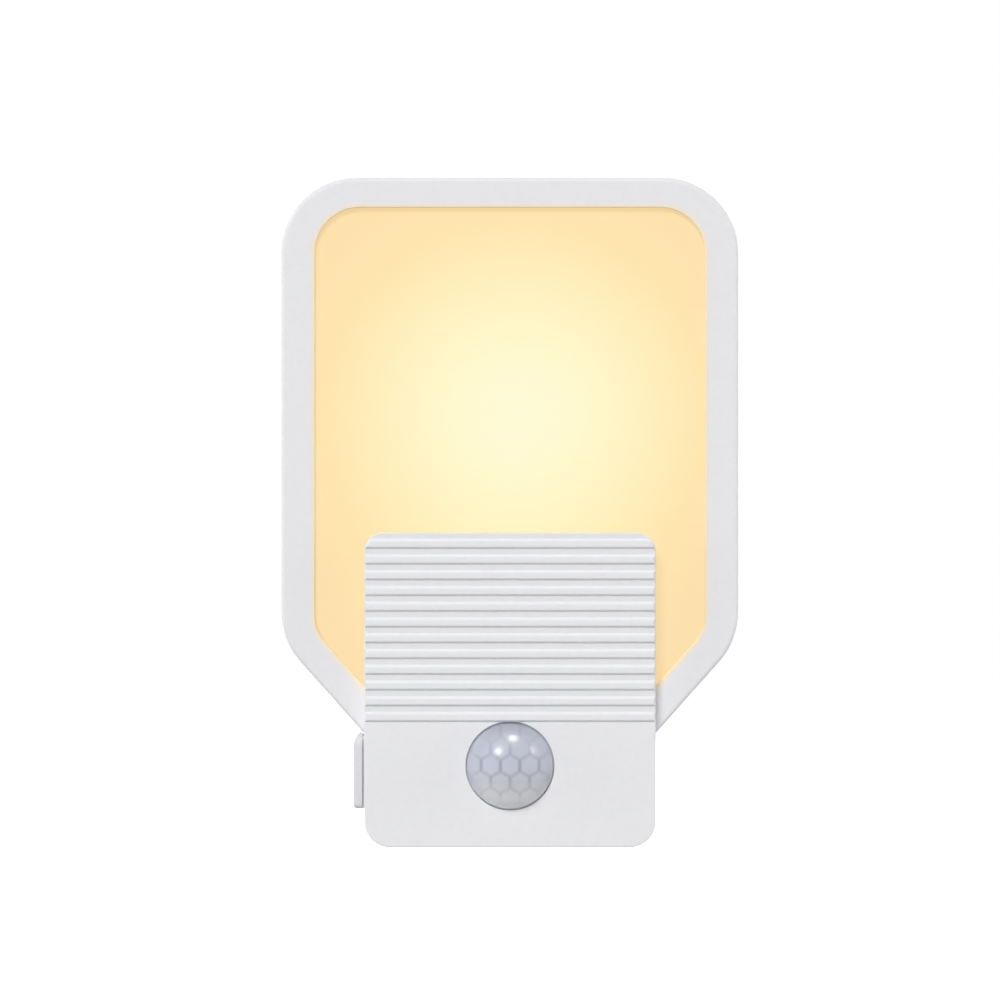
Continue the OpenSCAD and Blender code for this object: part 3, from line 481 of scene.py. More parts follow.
def end_effect(tree, source, result, patches, grain):
    """Mix the two colours by the patches, and take the roughness and the height from the grain."""
    tint = add_node(
        tree, "Mix", data_type="RGBA", Factor=(patches, "Fac"), A=(source, "Colour"),
        B=(source, "Second Colour"))
    gloss = add_node(
        tree, "MapRange", Value=(grain, "Fac"), From_Min=0.3, From_Max=0.7, To_Min=(source, "Gloss Low"),
        To_Max=(source, "Gloss High"))
    set_values(result, Colour=(tint, "Result"), Roughness=(gloss, "Result"), Height=(grain, "Fac"))
    return tree


def moulded_skin_group():
    """Spark-eroded mould skin: fine grain, slight cloudiness of the colour and of the gloss."""
    tree, source, result = effect_tree("moulded_skin", Grain="Float", Cloud="Float")
    place = (source, "Vector")
    grain = add_node(tree, "TexNoise", Vector=place, Scale=(source, "Grain"), Detail=3.0, Roughness=0.6)
    cloud = add_node(tree, "TexNoise", Vector=place, Scale=(source, "Cloud"), Detail=2.0)
    return end_effect(tree, source, result, cloud, grain)


def rolled_metal_group():
    """Rolled and plated sheet: long streaks along one axis with patches of duller plating."""
    tree, source, result = effect_tree("rolled_metal")
    place = (source, "Vector")
    drawn = add_node(tree, "Mapping", Vector=place, Scale=(9000, 500, 9000))
    streaks = add_node(tree, "TexNoise", Vector=(drawn, "Vector"), Scale=1.0, Detail=4.0)
    patches = add_node(tree, "TexNoise", Vector=place, Scale=420.0, Detail=3.0)
    return end_effect(tree, source, result, patches, streaks)


MOULDED_SKIN = moulded_skin_group()
ROLLED_METAL = rolled_metal_group()


# Finishes
def new_finish(name):
    finish = bpy.data.materials.new(name)
    finish.use_nodes = True
    tree = finish.node_tree
    place = (add_node(tree, "TexCoord"), "Object")
    return finish, tree, tree.nodes["Principled BSDF"], place


def add_bump(tree, shader, height, strength, depth_mm):
    bump = add_node(tree, "Bump", Strength=strength, Distance=depth_mm * MM, Height=height)
    set_values(shader, Normal=(bump, "Normal"))


def add_effect(tree, shader, place, group, colour, second, gloss, bump, depth_mm, **values):
    """Give the shader the colour, the roughness and the relief of a shared effect."""
    effect = add_node(
        tree, "Group", node_tree=group, Vector=place, Colour=(*colour, 1), Second_Colour=(*second, 1),
        Gloss_Low=gloss[0], Gloss_High=gloss[1], **values)
    set_values(shader, Base_Color=(effect, "Colour"), Roughness=(effect, "Roughness"))
    add_bump(tree, shader, (effect, "Height"), bump, depth_mm)


def tone_ramp(tree, share, tones):
    """Colour ramp from pairs of a place between 0 and 1 and a colour."""
    ramp = add_node(tree, "ValToRGB", Fac=share)
    stops = ramp.color_ramp.elements
    while len(stops) < len(tones):
        stops.new(0.5)
    for stop, (place, colour) in zip(stops, tones):
        stop.position = place
        stop.color = (*colour, 1)
    return ramp, "Color"


def plastic(name, colour, cloud, gloss, grain_mm=0.22, cloud_mm=9, bump=0.12, shine=0.5):
    finish, tree, shader, place = new_finish(name)
    add_effect(
        tree, shader, place, MOULDED_SKIN, colour, cloud, gloss, bump, depth_mm=0.03,
        Grain=1 / (grain_mm * MM), Cloud=1 / (cloud_mm * MM))
    set_values(shader, Specular_IOR_Level=shine)
    return finish


def metal(name, colour, dull, gloss):
    finish, tree, shader, place = new_finish(name)
    add_effect(tree, shader, place, ROLLED_METAL, colour, dull, gloss, bump=0.08, depth_mm=0.02)
    set_values(shader, Metallic=1.0)
    return finish


def circuit_board(name, mask, copper):
    """Solder mask over copper tracks on a 2.54 mm raster, with its glass weave showing faintly."""
    finish, tree, shader, place = new_finish(name)
    raster = add_node(tree, "Mapping", Vector=place, Rotation=(math.pi / 2, 0, 0))
    tracks = add_node(
        tree, "TexBrick", offset=0.5, Vector=(raster, "Vector"), Color1=(*mask, 1),
        Color2=(*[v * 0.86 for v in mask], 1), Mortar=(*copper, 1), Scale=1.0, Mortar_Size=0.0003,
        Mortar_Smooth=0.2, Brick_Width=0.0102, Row_Height=0.00254)
    weave = add_node(tree, "TexNoise", Vector=place, Scale=2400.0, Detail=2.0)
    set_values(shader, Base_Color=(tracks, "Color"), Roughness=0.35)
    add_bump(tree, shader, (weave, "Fac"), strength=0.1, depth_mm=0.02)
    return finish


# Warm light of the panel by distance from its middle, in millimetres
GLOW_CENTRE = (1.2, 47.5)
GLOW_REACH = 60.0
GLOW = [
    (0, (0.75, 0.745, 0.525)), (11, (0.755, 0.735, 0.47)), (22, (0.755, 0.665, 0.37)),
    (33, (0.75, 0.58, 0.28)), (45, (0.735, 0.54, 0.275)), (60, (0.73, 0.53, 0.275)),
]


def lit_opal():
    """Opal sheet lit from behind: brightest in the middle, warmer and dimmer towards its rim."""
    finish, tree, shader, place = new_finish("opal_diffuser_lit")
    centre = add_node(
        tree, "Mapping", Vector=place, Location=(-GLOW_CENTRE[0] * MM, 0, -GLOW_CENTRE[1] * MM))
    flat = add_node(tree, "VectorMath", (centre, "Vector"), (1, 0, 1), operation="MULTIPLY")
    reach = add_node(tree, "VectorMath", (flat, "Vector"), operation="LENGTH")
    share = add_node(tree, "MapRange", Value=(reach, "Value"), From_Max=GLOW_REACH * MM)
    tones = [(distance / GLOW_REACH, colour) for distance, colour in GLOW]
    add_effect(
        tree, shader, place, MOULDED_SKIN, (0.225, 0.195, 0.14), (0.215, 0.185, 0.13), (0.5, 0.62),
        bump=0.05, depth_mm=0.02, Grain=1 / (0.4 * MM), Cloud=1 / (14 * MM))
    set_values(
        shader, Emission_Color=tone_ramp(tree, (share, "Result"), tones), Emission_Strength=1.0,
        Specular_IOR_Level=0.3)
    return finish


# Tone of the lens from its lowest to its highest point: painted light makes it lighter at the bottom, and
# painted shade makes it darker towards the top
LENS_PAINTED_TONES = [
    (0, (0.86, 0.865, 0.90)), (0.22, (0.66, 0.665, 0.705)), (0.34, (0.545, 0.555, 0.63)),
    (0.55, (0.51, 0.525, 0.62)), (0.84, (0.475, 0.49, 0.575)), (1, (0.40, 0.415, 0.48)),
]


def milky_lens():
    """Milky lens: honeycomb cells of its inside show through as soft darker lines, over painted light and
    shade that runs from its lowest to its highest point.
    """
    finish, tree, shader, place = new_finish("milky_lens_cells")
    split = add_node(tree, "SeparateXYZ", Vector=place)
    # Height on the dome, which sets the painted light and shade of the lens
    rise = add_node(
        tree, "MapRange", Value=(split, "Z"), From_Min=(LENS_Z - LENS_R) * MM,
        From_Max=(LENS_Z + LENS_R) * MM)
    cells = add_node(tree, "Attribute", attribute_name="cell_line")
    lines = add_node(
        tree, "Mix", data_type="RGBA", blend_type="MULTIPLY", Factor=(cells, "Fac"),
        A=tone_ramp(tree, (rise, "Result"), LENS_PAINTED_TONES), B=(0.64, 0.64, 0.67, 1))
    milk = add_node(tree, "TexNoise", Vector=place, Scale=900.0, Detail=2.0)
    gloss = add_node(
        tree, "MapRange", Value=(milk, "Fac"), From_Min=0.3, From_Max=0.7, To_Min=0.29, To_Max=0.34)
    set_values(
        shader, Base_Color=(lines, "Result"), Roughness=(gloss, "Result"), Specular_IOR_Level=0.8,
        Coat_Weight=0.75, Coat_Roughness=0.26, Subsurface_Weight=0.85, Subsurface_Radius=(1.0, 1.0, 1.0),
        Subsurface_Scale=1.2 * MM)
    return finish


# What the outer white mouldings have in common
SATIN = {"gloss": (0.46, 0.58), "grain_mm": 0.3, "cloud_mm": 1.1, "bump": 0.16, "shine": 0.32}
FINISHES = {
    "white_shell": plastic("white_shell_satin", (0.765, 0.765, 0.785), (0.805, 0.805, 0.82), **SATIN),
    "white_inner": plastic("white_inner_matt", (0.70, 0.70, 0.68), (0.74, 0.74, 0.72), (0.5, 0.62)),
    "opal_diffuser": lit_opal(),
    "milky_lens": milky_lens(),
    "lamp_board": circuit_board("lamp_board_white", (0.80, 0.80, 0.78), (0.72, 0.72, 0.69)),
    "led_resin": plastic(
        "led_resin_yellow", (0.85, 0.62, 0.10), (0.90, 0.70, 0.18), (0.2, 0.3), 0.4, 3, 0.05),
    "plated_steel": metal("plated_steel_bright", (0.62, 0.62, 0.63), (0.50, 0.50, 0.52), (0.22, 0.38)),
    "lead_sheath": plastic(
        "lead_sheath_white", (0.68, 0.68, 0.66), (0.74, 0.74, 0.72), (0.35, 0.5), 0.5, 3, 0.06),
    "plug_brass": metal("plug_brass_nickelled", (0.70, 0.60, 0.40), (0.60, 0.50, 0.32), (0.20, 0.36)),
    "board_green": circuit_board("board_green_mask", (0.035, 0.16, 0.06), (0.07, 0.26, 0.10)),
    "capacitor_red": plastic(
        "capacitor_red_dip", (0.42, 0.06, 0.03), (0.48, 0.09, 0.05), (0.25, 0.4), 0.5, 3),
    "capacitor_blue": plastic(
        "capacitor_blue_sleeve", (0.03, 0.04, 0.10), (0.05, 0.06, 0.13), (0.25, 0.4), 0.5, 3),
    "resistor_blue": plastic(
        "resistor_blue_lacquer", (0.18, 0.34, 0.42), (0.22, 0.40, 0.48), (0.3, 0.45), 0.3, 2),
    "black_resin": plastic(
        "black_resin_matt", (0.02, 0.02, 0.022), (0.03, 0.03, 0.033), (0.5, 0.65), 0.12, 2),
    "dark_window": plastic(
        "dark_window_filter", (0.06, 0.05, 0.08), (0.08, 0.07, 0.10), (0.08, 0.14), 0.5, 3, 0.02),
    "capacitor_can": metal(
        "capacitor_can_aluminium", (0.72, 0.72, 0.74), (0.62, 0.62, 0.64), (0.25, 0.4)),
    "brown_board": plastic(
        "brown_board_paper", (0.26, 0.14, 0.06), (0.32, 0.18, 0.08), (0.5, 0.65), 0.3, 2),
}
# Copy of the white satin for the bezel, with the panel's warm glow painted into the colour of its lip
BEZEL_FINISH = plastic("white_bezel_warm_lip", (0.755, 0.755, 0.775), (0.795, 0.795, 0.81), **SATIN)
# The knob's copy of the white satin is painted darker than the shell, as shade under the panel's rim beside
# the body
KNOB_SHADED_FINISH = plastic("white_knob_satin", (0.635, 0.635, 0.66), (0.67, 0.67, 0.69), **SATIN)


def paint_lip_glow(finish, warm):
    """Painted light: mix the panel's warm glow into the plastic's colour where the plastic is a thin lip."""
    tree = finish.node_tree
    shader = tree.nodes["Principled BSDF"]
    skin = shader.inputs["Base Color"].links[0].from_node
    lip = add_node(tree, "Attribute", attribute_name="lip_glow")
    tint = add_node(tree, "Mix", data_type="RGBA", Factor=(lip, "Fac"), A=(skin, "Colour"), B=(*warm, 1))
    set_values(shader, Base_Color=(tint, "Result"))


paint_lip_glow(BEZEL_FINISH, (0.92, 0.76, 0.50))


def fit(obj, slot, node, body="housing"):
    """Give a finished piece its finish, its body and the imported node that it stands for."""
    obj.data.materials.clear()
    obj.data.materials.append(FINISHES[slot])
    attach(obj, body)
    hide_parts(node)


def placed_copies(name, model, places, slot, node):
    """One copy of a model on each place, as one piece on the housing."""
    mesh = bpy.data.meshes.new(name)
    mesh.from_pydata([[v * MM for v in place] for place in places], [], [])
    obj = linked(name, mesh)
    grown_by(obj, places_tree(name), {"Model": model, "Finish": FINISHES[slot]})
    drop(model)
    fit(obj, slot, node)


def combine(obj, name, other, slot, operation="DIFFERENCE", count=1, first_z=0.0, step_z=0.0):
    """Cut a row of copies of another solid out of the object, or cut a row of the object to that solid."""
    grown_by(obj, row_tree(name, operation), {
        "Count": count, "First": (0, 0, first_z * MM), "Step": (0, 0, step_z * MM), "Other": other,
        "Finish": FINISHES[slot],
    })
    drop(other)


# Body of the light
CROSS_OUT_Z = PANEL_BOTTOM + TUCK * math.tan(TAPER) - FIT / math.cos(TAPER)
CROSS_IN_Z = PANEL_BOTTOM - FIT


def cover_ring(d):
    """Outline of the front cover with a point on each side where the panel passes through it."""
    z = CROSS_OUT_Z + (CROSS_IN_Z - CROSS_OUT_Z) * rising(d, 0, WALL)
    arcs = body_arcs(d)
    return arcs[0] + arcs[1] + [(HALF_W - d, z)] + arcs[2] + arcs[3] + [(d - HALF_W, z)]


def make_front_cover():
    maker = Maker()
    right = 2 * (ARC + 1)
    left = 2 * right + 1
    flat, seam, boss_sink = 0.1, 0.12, 0.02
    profile = [(0, Y_PANEL), (0, Y_FRONT + BODY_EDGE + flat)]
    profile += [(d, Y_FRONT + y) for d, y in round_edge(BODY_EDGE, 6)] + [(BODY_EDGE + flat, Y_FRONT)]
    outer = [maker.ring(cover_ring(d), y) for d, y in profile]
    out_rear = outer[0]
    maker.bands(outer)
    hole = []
    for grow, y in ((0.2, 0), (0.12, 0), (0.06, 0.015), (0.015, 0.06), (0, 0.12), (0, WALL)):
        hole.append(maker.ring(circle_points(LENS_X, LENS_Z, LENS_HOLE_R + grow, 96), Y_FRONT + y))
    maker.bands(hole)
    maker.fill(outer[-1], hole[0])
    in_front = maker.ring(cover_ring(WALL), Y_FRONT_IN)
    in_rear = maker.ring(cover_ring(WALL), Y_PANEL)
    maker.band(in_front, in_rear)
    maker.fill(in_front, hole[-1])
    upper = range(right, left + 1)
    lower = [left, *range(right + 1)]
    maker.band([out_rear[i] for i in upper], [in_rear[i] for i in upper], closed=False)
    outline = cover_ring(0)
    eased = shrink(outline, seam)
    inside = cover_ring(WALL)
    edges = [
        [out_rear[i] for i in lower],
        maker.ring([outline[i] for i in lower], Y_SEAM - seam),
        maker.ring([eased[i] for i in lower], Y_SEAM),
        maker.ring([inside[i] for i in lower], Y_SEAM),
        [in_rear[i] for i in lower],
    ]
    maker.bands(edges, closed=False)
    for i in (0, -1):
        maker.cap([edge[i] for edge in edges])
    for x, z in SCREW_PLACES:
        end = Y_SKIRT if z > 0 else Y_SENSOR_BOARD
        maker.tube(x, z, BOSS_BORE_R, BOSS_R, Y_FRONT_IN - boss_sink, end)
    obj = maker.finish("front_cover_shell")
    combine(obj, "knob_slot", slot_cutter(), "white_shell")
    fit(obj, "white_shell", "front_cover")


def slot_cutter():
    """Block that cuts the slot in the left side, through which the knob's shank passes."""
    maker = Maker()
    half, down, up = 2, 6.3, 2.3
    y0, y1, z0, z1 = KNOB_Y - half, KNOB_Y + half, KNOB_Z - down, KNOB_Z + up
    corners = [(y0, z0), (y1, z0), (y1, z1), (y0, z1)]
    maker.solid([maker.side_ring(x, corners) for x in (-HALF_W - 1, -HALF_W + WALL + 1)])
    return maker.finish("slot_cutter")


def make_ribs():
    """Raised bands across the upper front, cut to the body's outline with eased ends."""
    block = Maker()
    levels = [(0.05, 0.4), (0.14, 0.0), (0.16, -0.2), (0.24, -0.34), (0.40, -0.46), (0.5, -0.5)]
    block.solid([block.ring(flat_list(body_arcs(d)), Y_FRONT + y) for d, y in levels])
    block = block.finish("rib_block")
    root, over = 0.3, 2
    floor_h = RIB_PITCH - RIB_H - 0.01
    section = [
        (root, floor_h), (-RIB_LEAN, floor_h), (0, 0.01), (-0.05, -0.03), (-0.34, -0.28), (-0.41, -0.36),
        (-0.44, -0.44), (-RIB_PROUD, -0.54), (-RIB_PROUD, 0.46 - RIB_H), (-0.435, 0.38 - RIB_H),
        (-0.385, 0.31 - RIB_H), (-0.02, -RIB_H), (root, -RIB_H),
    ]
    section = [(Y_FRONT + y, z) for y, z in section]
    rib = Maker()
    rib.solid([rib.side_ring(x, section) for x in (-HALF_W - over, HALF_W + over)])
    obj = rib.finish("front_cover_ribs")
    combine(obj, "cover_ribs", block, "white_shell", "INTERSECT", RIB_COUNT, HALF_H - RIB_START, -RIB_PITCH)
    sharpen(obj.data)
    fit(obj, "white_shell", "front_cover")


def make_rear_housing():
    maker = Maker()
    inset = HALF_W - REAR_HIGH[0]
    start = Y_REAR - REAR_CHAMFER
    lower_post = 2
    profile = [
        (0.1, Y_SEAM), (0, Y_SEAM + 0.1), (0, start - 0.25), (0.03, start - 0.05), (0.16, start + 0.14),
        (REAR_CHAMFER - 0.14, Y_REAR - 0.16), (REAR_CHAMFER + 0.05, Y_REAR - 0.03),
        (REAR_CHAMFER + 0.25, Y_REAR), (REAR_CHAMFER + 0.35, Y_REAR),
    ]
    outer = [maker.ring(flat_list(body_arcs(inset + d)), y) for d, y in profile]
    maker.bands(outer)
    inner = [maker.ring(flat_list(body_arcs(inset + WALL)), y) for y in (Y_SEAM, Y_FLOOR)]
    maker.band(outer[0], inner[0])
    maker.bands(inner)
    eased = [(0.25, Y_REAR), (0.07, Y_REAR - 0.07), (0, Y_REAR - 0.25)]
    window = []
    for grow, y in eased + [(0, Y_FLOOR)]:
        wide, high = PLUG_HALF_W + FIT + grow, PLUG_HALF_H + FIT + grow
        window.append(maker.ring(box_points(-wide, -high, wide, high, PLUG_RADIUS + FIT + grow), y))
    maker.bands(window)
    face_holes, floor_holes = [window[0]], [window[-1]]
    for x, z in SCREW_PLACES:
        end = Y_SEAM if z > 0 else Y_SEAM - lower_post
        bore = [(COUNTERBORE_R + grow, y) for grow, y in eased] + [
            (COUNTERBORE_R, SCREW_SEAT), (SCREW_HOLE_R, SCREW_SEAT), (SCREW_HOLE_R, end), (SCREW_POST_R, end),
            (SCREW_POST_R, Y_FLOOR),
        ]
        bore = [maker.ring(circle_points(x, z, radius, 40), y) for radius, y in bore]
        maker.bands(bore)
        face_holes.append(bore[0])
        floor_holes.append(bore[-1])
    maker.fill(outer[-1], *face_holes)
    maker.fill(inner[1], *floor_holes)
    fit(maker.finish("rear_housing_shell"), "white_shell", "rear_housing")


# Light panel
def make_bezel():
    maker = Maker()
    layer = maker.bm.verts.layers.float.new("lip_glow")
    ease = 0.12
    rim = [(ease, Y_SKIRT), (0, Y_SKIRT - ease), (0, Y_PANEL + PANEL_EDGE + 0.15)]
    rim += [(d, Y_PANEL + y) for d, y in round_edge(PANEL_EDGE, 7)] + [(PANEL_EDGE + ease, Y_PANEL)]
    # Third value of each lip step: share of the painted warm glow of the panel in the lip's colour
    lip = [(-1.2, Y_PANEL, 0), (-0.95, Y_PANEL, 0.12), (-0.75, Y_PANEL, 0.25), (-0.55, Y_PANEL, 0.42)]
    lip += [(-d, Y_PANEL + y, 1 - 1.2 * d) for y, d in round_edge(OPENING_EDGE, 6)]
    lip.append((-LIP_RELIEF, Y_LIP, 1))
    section = [(panel_arcs(d), y, 0) for d, y in rim]
    section += [(opening_arcs(d), y, glow) for d, y, glow in lip]
    section += [(panel_arcs(SKIRT), y, 0) for y in (Y_LIP, Y_SKIRT)]
    rings = []
    for arcs, y, glow in section:
        ring = maker.ring(panel_path(arcs), y)
        for vert in ring:
            vert[layer] = glow
        rings.append(ring)
    maker.sweep(rings)
    gap = 0.43
    tab = box_points(-HALF_W + gap, NOTCH_TOP, HALF_W - gap, HALF_H - gap, 2.4)
    maker.plate(tab, Y_PANEL + 0.01, Y_LIP - 0.01, upper_screw_holes(BOSS_R + FIT))
    obj = maker.finish("bezel_frame_shell")
    fit(obj, "white_shell", "bezel_frame")
    obj.data.materials[0] = BEZEL_FINISH


def make_panel_back():
    maker = Maker()
    ease = 0.12
    profile = [(ease, Y_SKIRT), (0, Y_SKIRT + ease), (0, Y_PANEL_BACK - PANEL_EDGE - 0.1)]
    profile += [(d, Y_PANEL_BACK - y) for d, y in round_edge(PANEL_EDGE, 6)]
    profile.append((PANEL_EDGE + ease, Y_PANEL_BACK))
    holes = upper_screw_holes(SCREW_HOLE_R, 24) + [circle_points(0, LEAD_HOLE_Z, LEAD_HOLE_R, 24)]
    maker.drilled([maker.ring(panel_with_notch(d), y) for d, y in profile], holes, Y_SKIRT, Y_PANEL_BACK)
    wall = SKIRT + FIT
    inner = wall + 1.4
    section = [(wall, Y_SKIRT), (wall, OPAL_HIGH[1]), (inner, OPAL_HIGH[1]), (inner, Y_SKIRT)]
    maker.sweep([maker.ring(panel_path(panel_arcs(d)), y) for d, y in section])
    fit(maker.finish("panel_back_shell"), "white_shell", "panel_back")


def make_diffuser():
    maker = Maker()
    edge = 0.15
    side = SKIRT + FIT
    front, back = OPAL_LOW[1], OPAL_HIGH[1]
    profile = both_ends([(side + edge, 0), (side, edge)], front, back)
    rings = [maker.ring(panel_with_notch(d), y) for d, y in profile]
    maker.drilled(rings, upper_screw_holes(BOSS_R + FIT), front, back)
    fit(maker.finish("diffuser_plate"), "opal_diffuser", "diffuser")


# Motion sensor lens
def cell_line(x, z):
    """How near a point lies to the border of its honeycomb cell, 1 on an upright border."""
    cells = []
    k0 = round(z / CELL_ROW)
    for k in (k0 - 1, k0, k0 + 1):
        shift = CELL_PITCH / 2 if k % 2 else 0
        i0 = round((x - shift) / CELL_PITCH)
        for i in (i0 - 1, i0, i0 + 1):
            cells.append((math.hypot(x - shift - i * CELL_PITCH, z - k * CELL_ROW), k))
    cells.sort()
    near, near_row = cells[0]
    line = 0.0
    for far, far_row in cells[1:]:
        share = max(0.0, 1 - (far ** 2 - near ** 2) / (2 * CELL_PITCH * CELL_LINE))
        weight = 1.0 if far_row == near_row else SLANTED_LINE
        line = max(line, weight * share * share * (3 - 2 * share))
    return line


def line_fade(radius, z):
    """Share of the cell lines that is lost at the rim, above the middle and in two steps below it."""
    return max(
        0.6 * rising(radius, 5.2, 1.4), 0.65 * rising(z, 1, 3), 0.4 * rising(-z, 1.4, 1.2),
        0.85 * rising(-z, 4.1, 1.0),
    )


def way_from_front(t, a):
    """Direction that leans by one angle away from the front, towards the other angle."""
    return Vector((math.sin(t) * math.cos(a), -math.cos(t), math.sin(t) * math.sin(a)))


def make_lens():
    maker = Maker()
    apex = LENS_LOW[1]
    collar = Y_FRONT - LENS_COLLAR
    dome_h = collar - apex
    dome_r = (LENS_R ** 2 + dome_h ** 2) / (2 * dome_h)
    centre = Vector((LENS_X, apex + dome_r, LENS_Z))
    flange_r = (LENS_HIGH[0] - LENS_LOW[0]) / 2
    flange_back = LENS_HIGH[1]
    sleeve_r = LENS_HOLE_R - 0.03
    bore = LENS_R - LENS_WALL
    around, steps, inner_steps = 216, 80, 24
    angles = [2 * math.pi * i / around for i in range(around)]
    layer = maker.bm.verts.layers.float.new("cell_line")
    tip = maker.loop([(LENS_X, apex, LENS_Z)])[0]
    rings = []
    widest = math.asin(LENS_R / dome_r)
    for k in range(1, steps + 1):
        t = widest * k / steps
        radius = dome_r * math.sin(t)
        points, lines = [], []
        for a in angles:
            z = radius * math.sin(a)
            line = cell_line(radius * math.cos(a), z - CELL_RISE) * (1 - line_fade(radius, z))
            points.append(centre + way_from_front(t, a) * (dome_r - CELL_GROOVE * line))
            lines.append(line)
        rings.append(maker.loop(points))
        for vert, line in zip(rings[-1], lines):
            vert[layer] = line
    maker.fan(rings[0], tip)
    for radius, y in (
        (LENS_R, collar + 0.1), (LENS_R, Y_FRONT + 0.35), (sleeve_r, Y_FRONT + 0.4), (sleeve_r, Y_FRONT_IN),
        (flange_r - 0.1, Y_FRONT_IN), (flange_r, Y_FRONT_IN + 0.1), (flange_r, flange_back - 0.1),
        (flange_r - 0.1, flange_back), (bore, flange_back), (bore, collar),
    ):
        rings.append(maker.ring(circle_points(LENS_X, LENS_Z, radius, around), y))
    cell_r = dome_r - LENS_WALL
    tilt = CELL_PITCH / cell_r
    cells = []
    for i in range(-2, 3):
        for k in range(-2, 3):
            if abs(i + k) <= 2:
                x, z = i + k / 2, k * math.sqrt(3) / 2
                cells.append(way_from_front(math.hypot(x, z) * tilt, math.atan2(z, x)))
    widest = math.atan2(bore, centre.y - collar)
    for k in range(inner_steps - 1, 0, -1):
        t = widest * k / inner_steps
        points = []
        for a in angles:
            way = way_from_front(t, a)
            reach = min(cell_r / max(way.dot(cell), 0.2) for cell in cells)
            points.append(centre + way * min(reach, bore / max(math.sin(t), 0.01)))
        rings.append(maker.loop(points))
    maker.bands(rings)
    maker.fan(rings[-1], maker.loop([(LENS_X, centre.y - cell_r, LENS_Z)])[0])
    fit(maker.finish("pir_lens_dome", 40), "milky_lens", "pir_lens")


# Slide knob
def make_knob():
    maker = Maker()
    y0, y1 = KNOB_LOW[1], KNOB_HIGH[1]
    brow_x, brow_z, brow_rise = 1.25, 1.5, 0.7
    z0, z1 = KNOB_LOW[2], KNOB_HIGH[2] + brow_rise
    tip = KNOB_LOW[0]
    root = -HALF_W - 0.42
    side_x = -HALF_W - 0.06
    edge = 0.7
    shank_y, shank_z = 1.7, 2

    def eased(x, reach, drop_by):
        """How far a quarter of an ellipse has drawn the outline in at this distance from the tip."""
        s = rising(tip + reach - x, 0, reach)
        return drop_by * (1 - math.sqrt(1 - s * s))

    def ring(x, d=0.0):
        side, top = eased(x, edge, edge) + d, eased(x, brow_x, brow_z) + d
        corners = [
            (y0 + side, z0 + side), (y1 - side, z0 + side), (y1 - side, z1 - top), (y0 + side, z1 - top)]
        radii = [max(r - side, 0.3) for r in (1, 1, 1, 1.5)]
        return maker.side_ring(x, flat_list(rounded(corners, radii, 8)))

    rings = [ring(root, 0.2), ring(root - 0.04, 0.06), ring(root - 0.15)]
    rings += [ring(tip + brow_x * (1 - math.sin(t))) for t in quarter(10)]
    rings.append(ring(tip, 0.12))
    maker.bands(rings)
    maker.cap(rings[-1])
    points = box_points(y0 + 0.85, z0 + 0.06, y1 - 0.85, z1 - 0.06, 0.3)
    neck = [maker.side_ring(x, points) for x in (root, side_x)]
    points = box_points(KNOB_Y - shank_y, KNOB_Z - shank_z, KNOB_Y + shank_y, KNOB_Z + shank_z, 0.3, 3)
    shank = [maker.side_ring(x, points) for x in (side_x, KNOB_HIGH[0])]
    maker.band(rings[0], neck[0])
    maker.bands(neck)
    maker.fill(neck[1], shank[0])
    maker.bands(shank)
    maker.cap(shank[1])
    obj = maker.finish("switch_knob_cap")
    groove = Maker()
    reach = (y1 - y0) / 2 - 1.4
    groove_x, stretch = tip - 0.05, 1.2
    ends = []
    for y, radius in ((-reach, 0.24), (-reach + 0.12, 0.34), (reach - 0.12, 0.34), (reach, 0.24)):
        points = circle_points(0, 0, radius, 20)
        ends.append(groove.loop([(groove_x + x * stretch, KNOB_Y + y, z) for x, z in points]))
    groove.solid(ends)
    grips, pitch = 5, 1.6
    cutter = groove.finish("grip_cutter")
    lowest = KNOB_Z - pitch * (grips - 1) / 2
    combine(obj, "knob_grips", cutter, "white_shell", count=grips, first_z=lowest, step_z=pitch)
    sharpen(obj.data)
    fit(obj, "white_shell", "switch_knob", "switch")
    # The knob gets the white satin painted darker as shade
    obj.data.materials[0] = KNOB_SHADED_FINISH


# Plug
def make_plug_insert():
    maker = Maker()
    face, root = INSERT_HIGH[1], INSERT_LOW[1]
    flange_x, flange_z, flange_radius = INSERT_HIGH[0], INSERT_HIGH[2], 6

    def ring(wide, high, radius, y):
        return maker.ring(box_points(-wide, -high, wide, high, radius), y)

    rings = [ring(flange_x, flange_z, flange_radius, y) for y in (root, Y_FLOOR)]
    rings.append(ring(PLUG_HALF_W, PLUG_HALF_H, PLUG_RADIUS, Y_FLOOR))
    for d, y in ((0, 0.35), (0.03, 0.2), (0.1, 0.1), (0.2, 0.03), (0.35, 0), (0.45, 0)):
        rings.append(ring(PLUG_HALF_W - d, PLUG_HALF_H - d, PLUG_RADIUS - d, face - y))
    gap = 0.1
    half, high = BLADE_HALF_T + gap, BLADE_HIGH[2] + gap
    slots = [box_points(x - half, -high, x + half, high, 0.2, 3) for x in (-BLADE_X, BLADE_X)]
    maker.drilled(rings, slots, root, face)
    fit(maker.finish("plug_insert_plate"), "white_inner", "plug_insert")


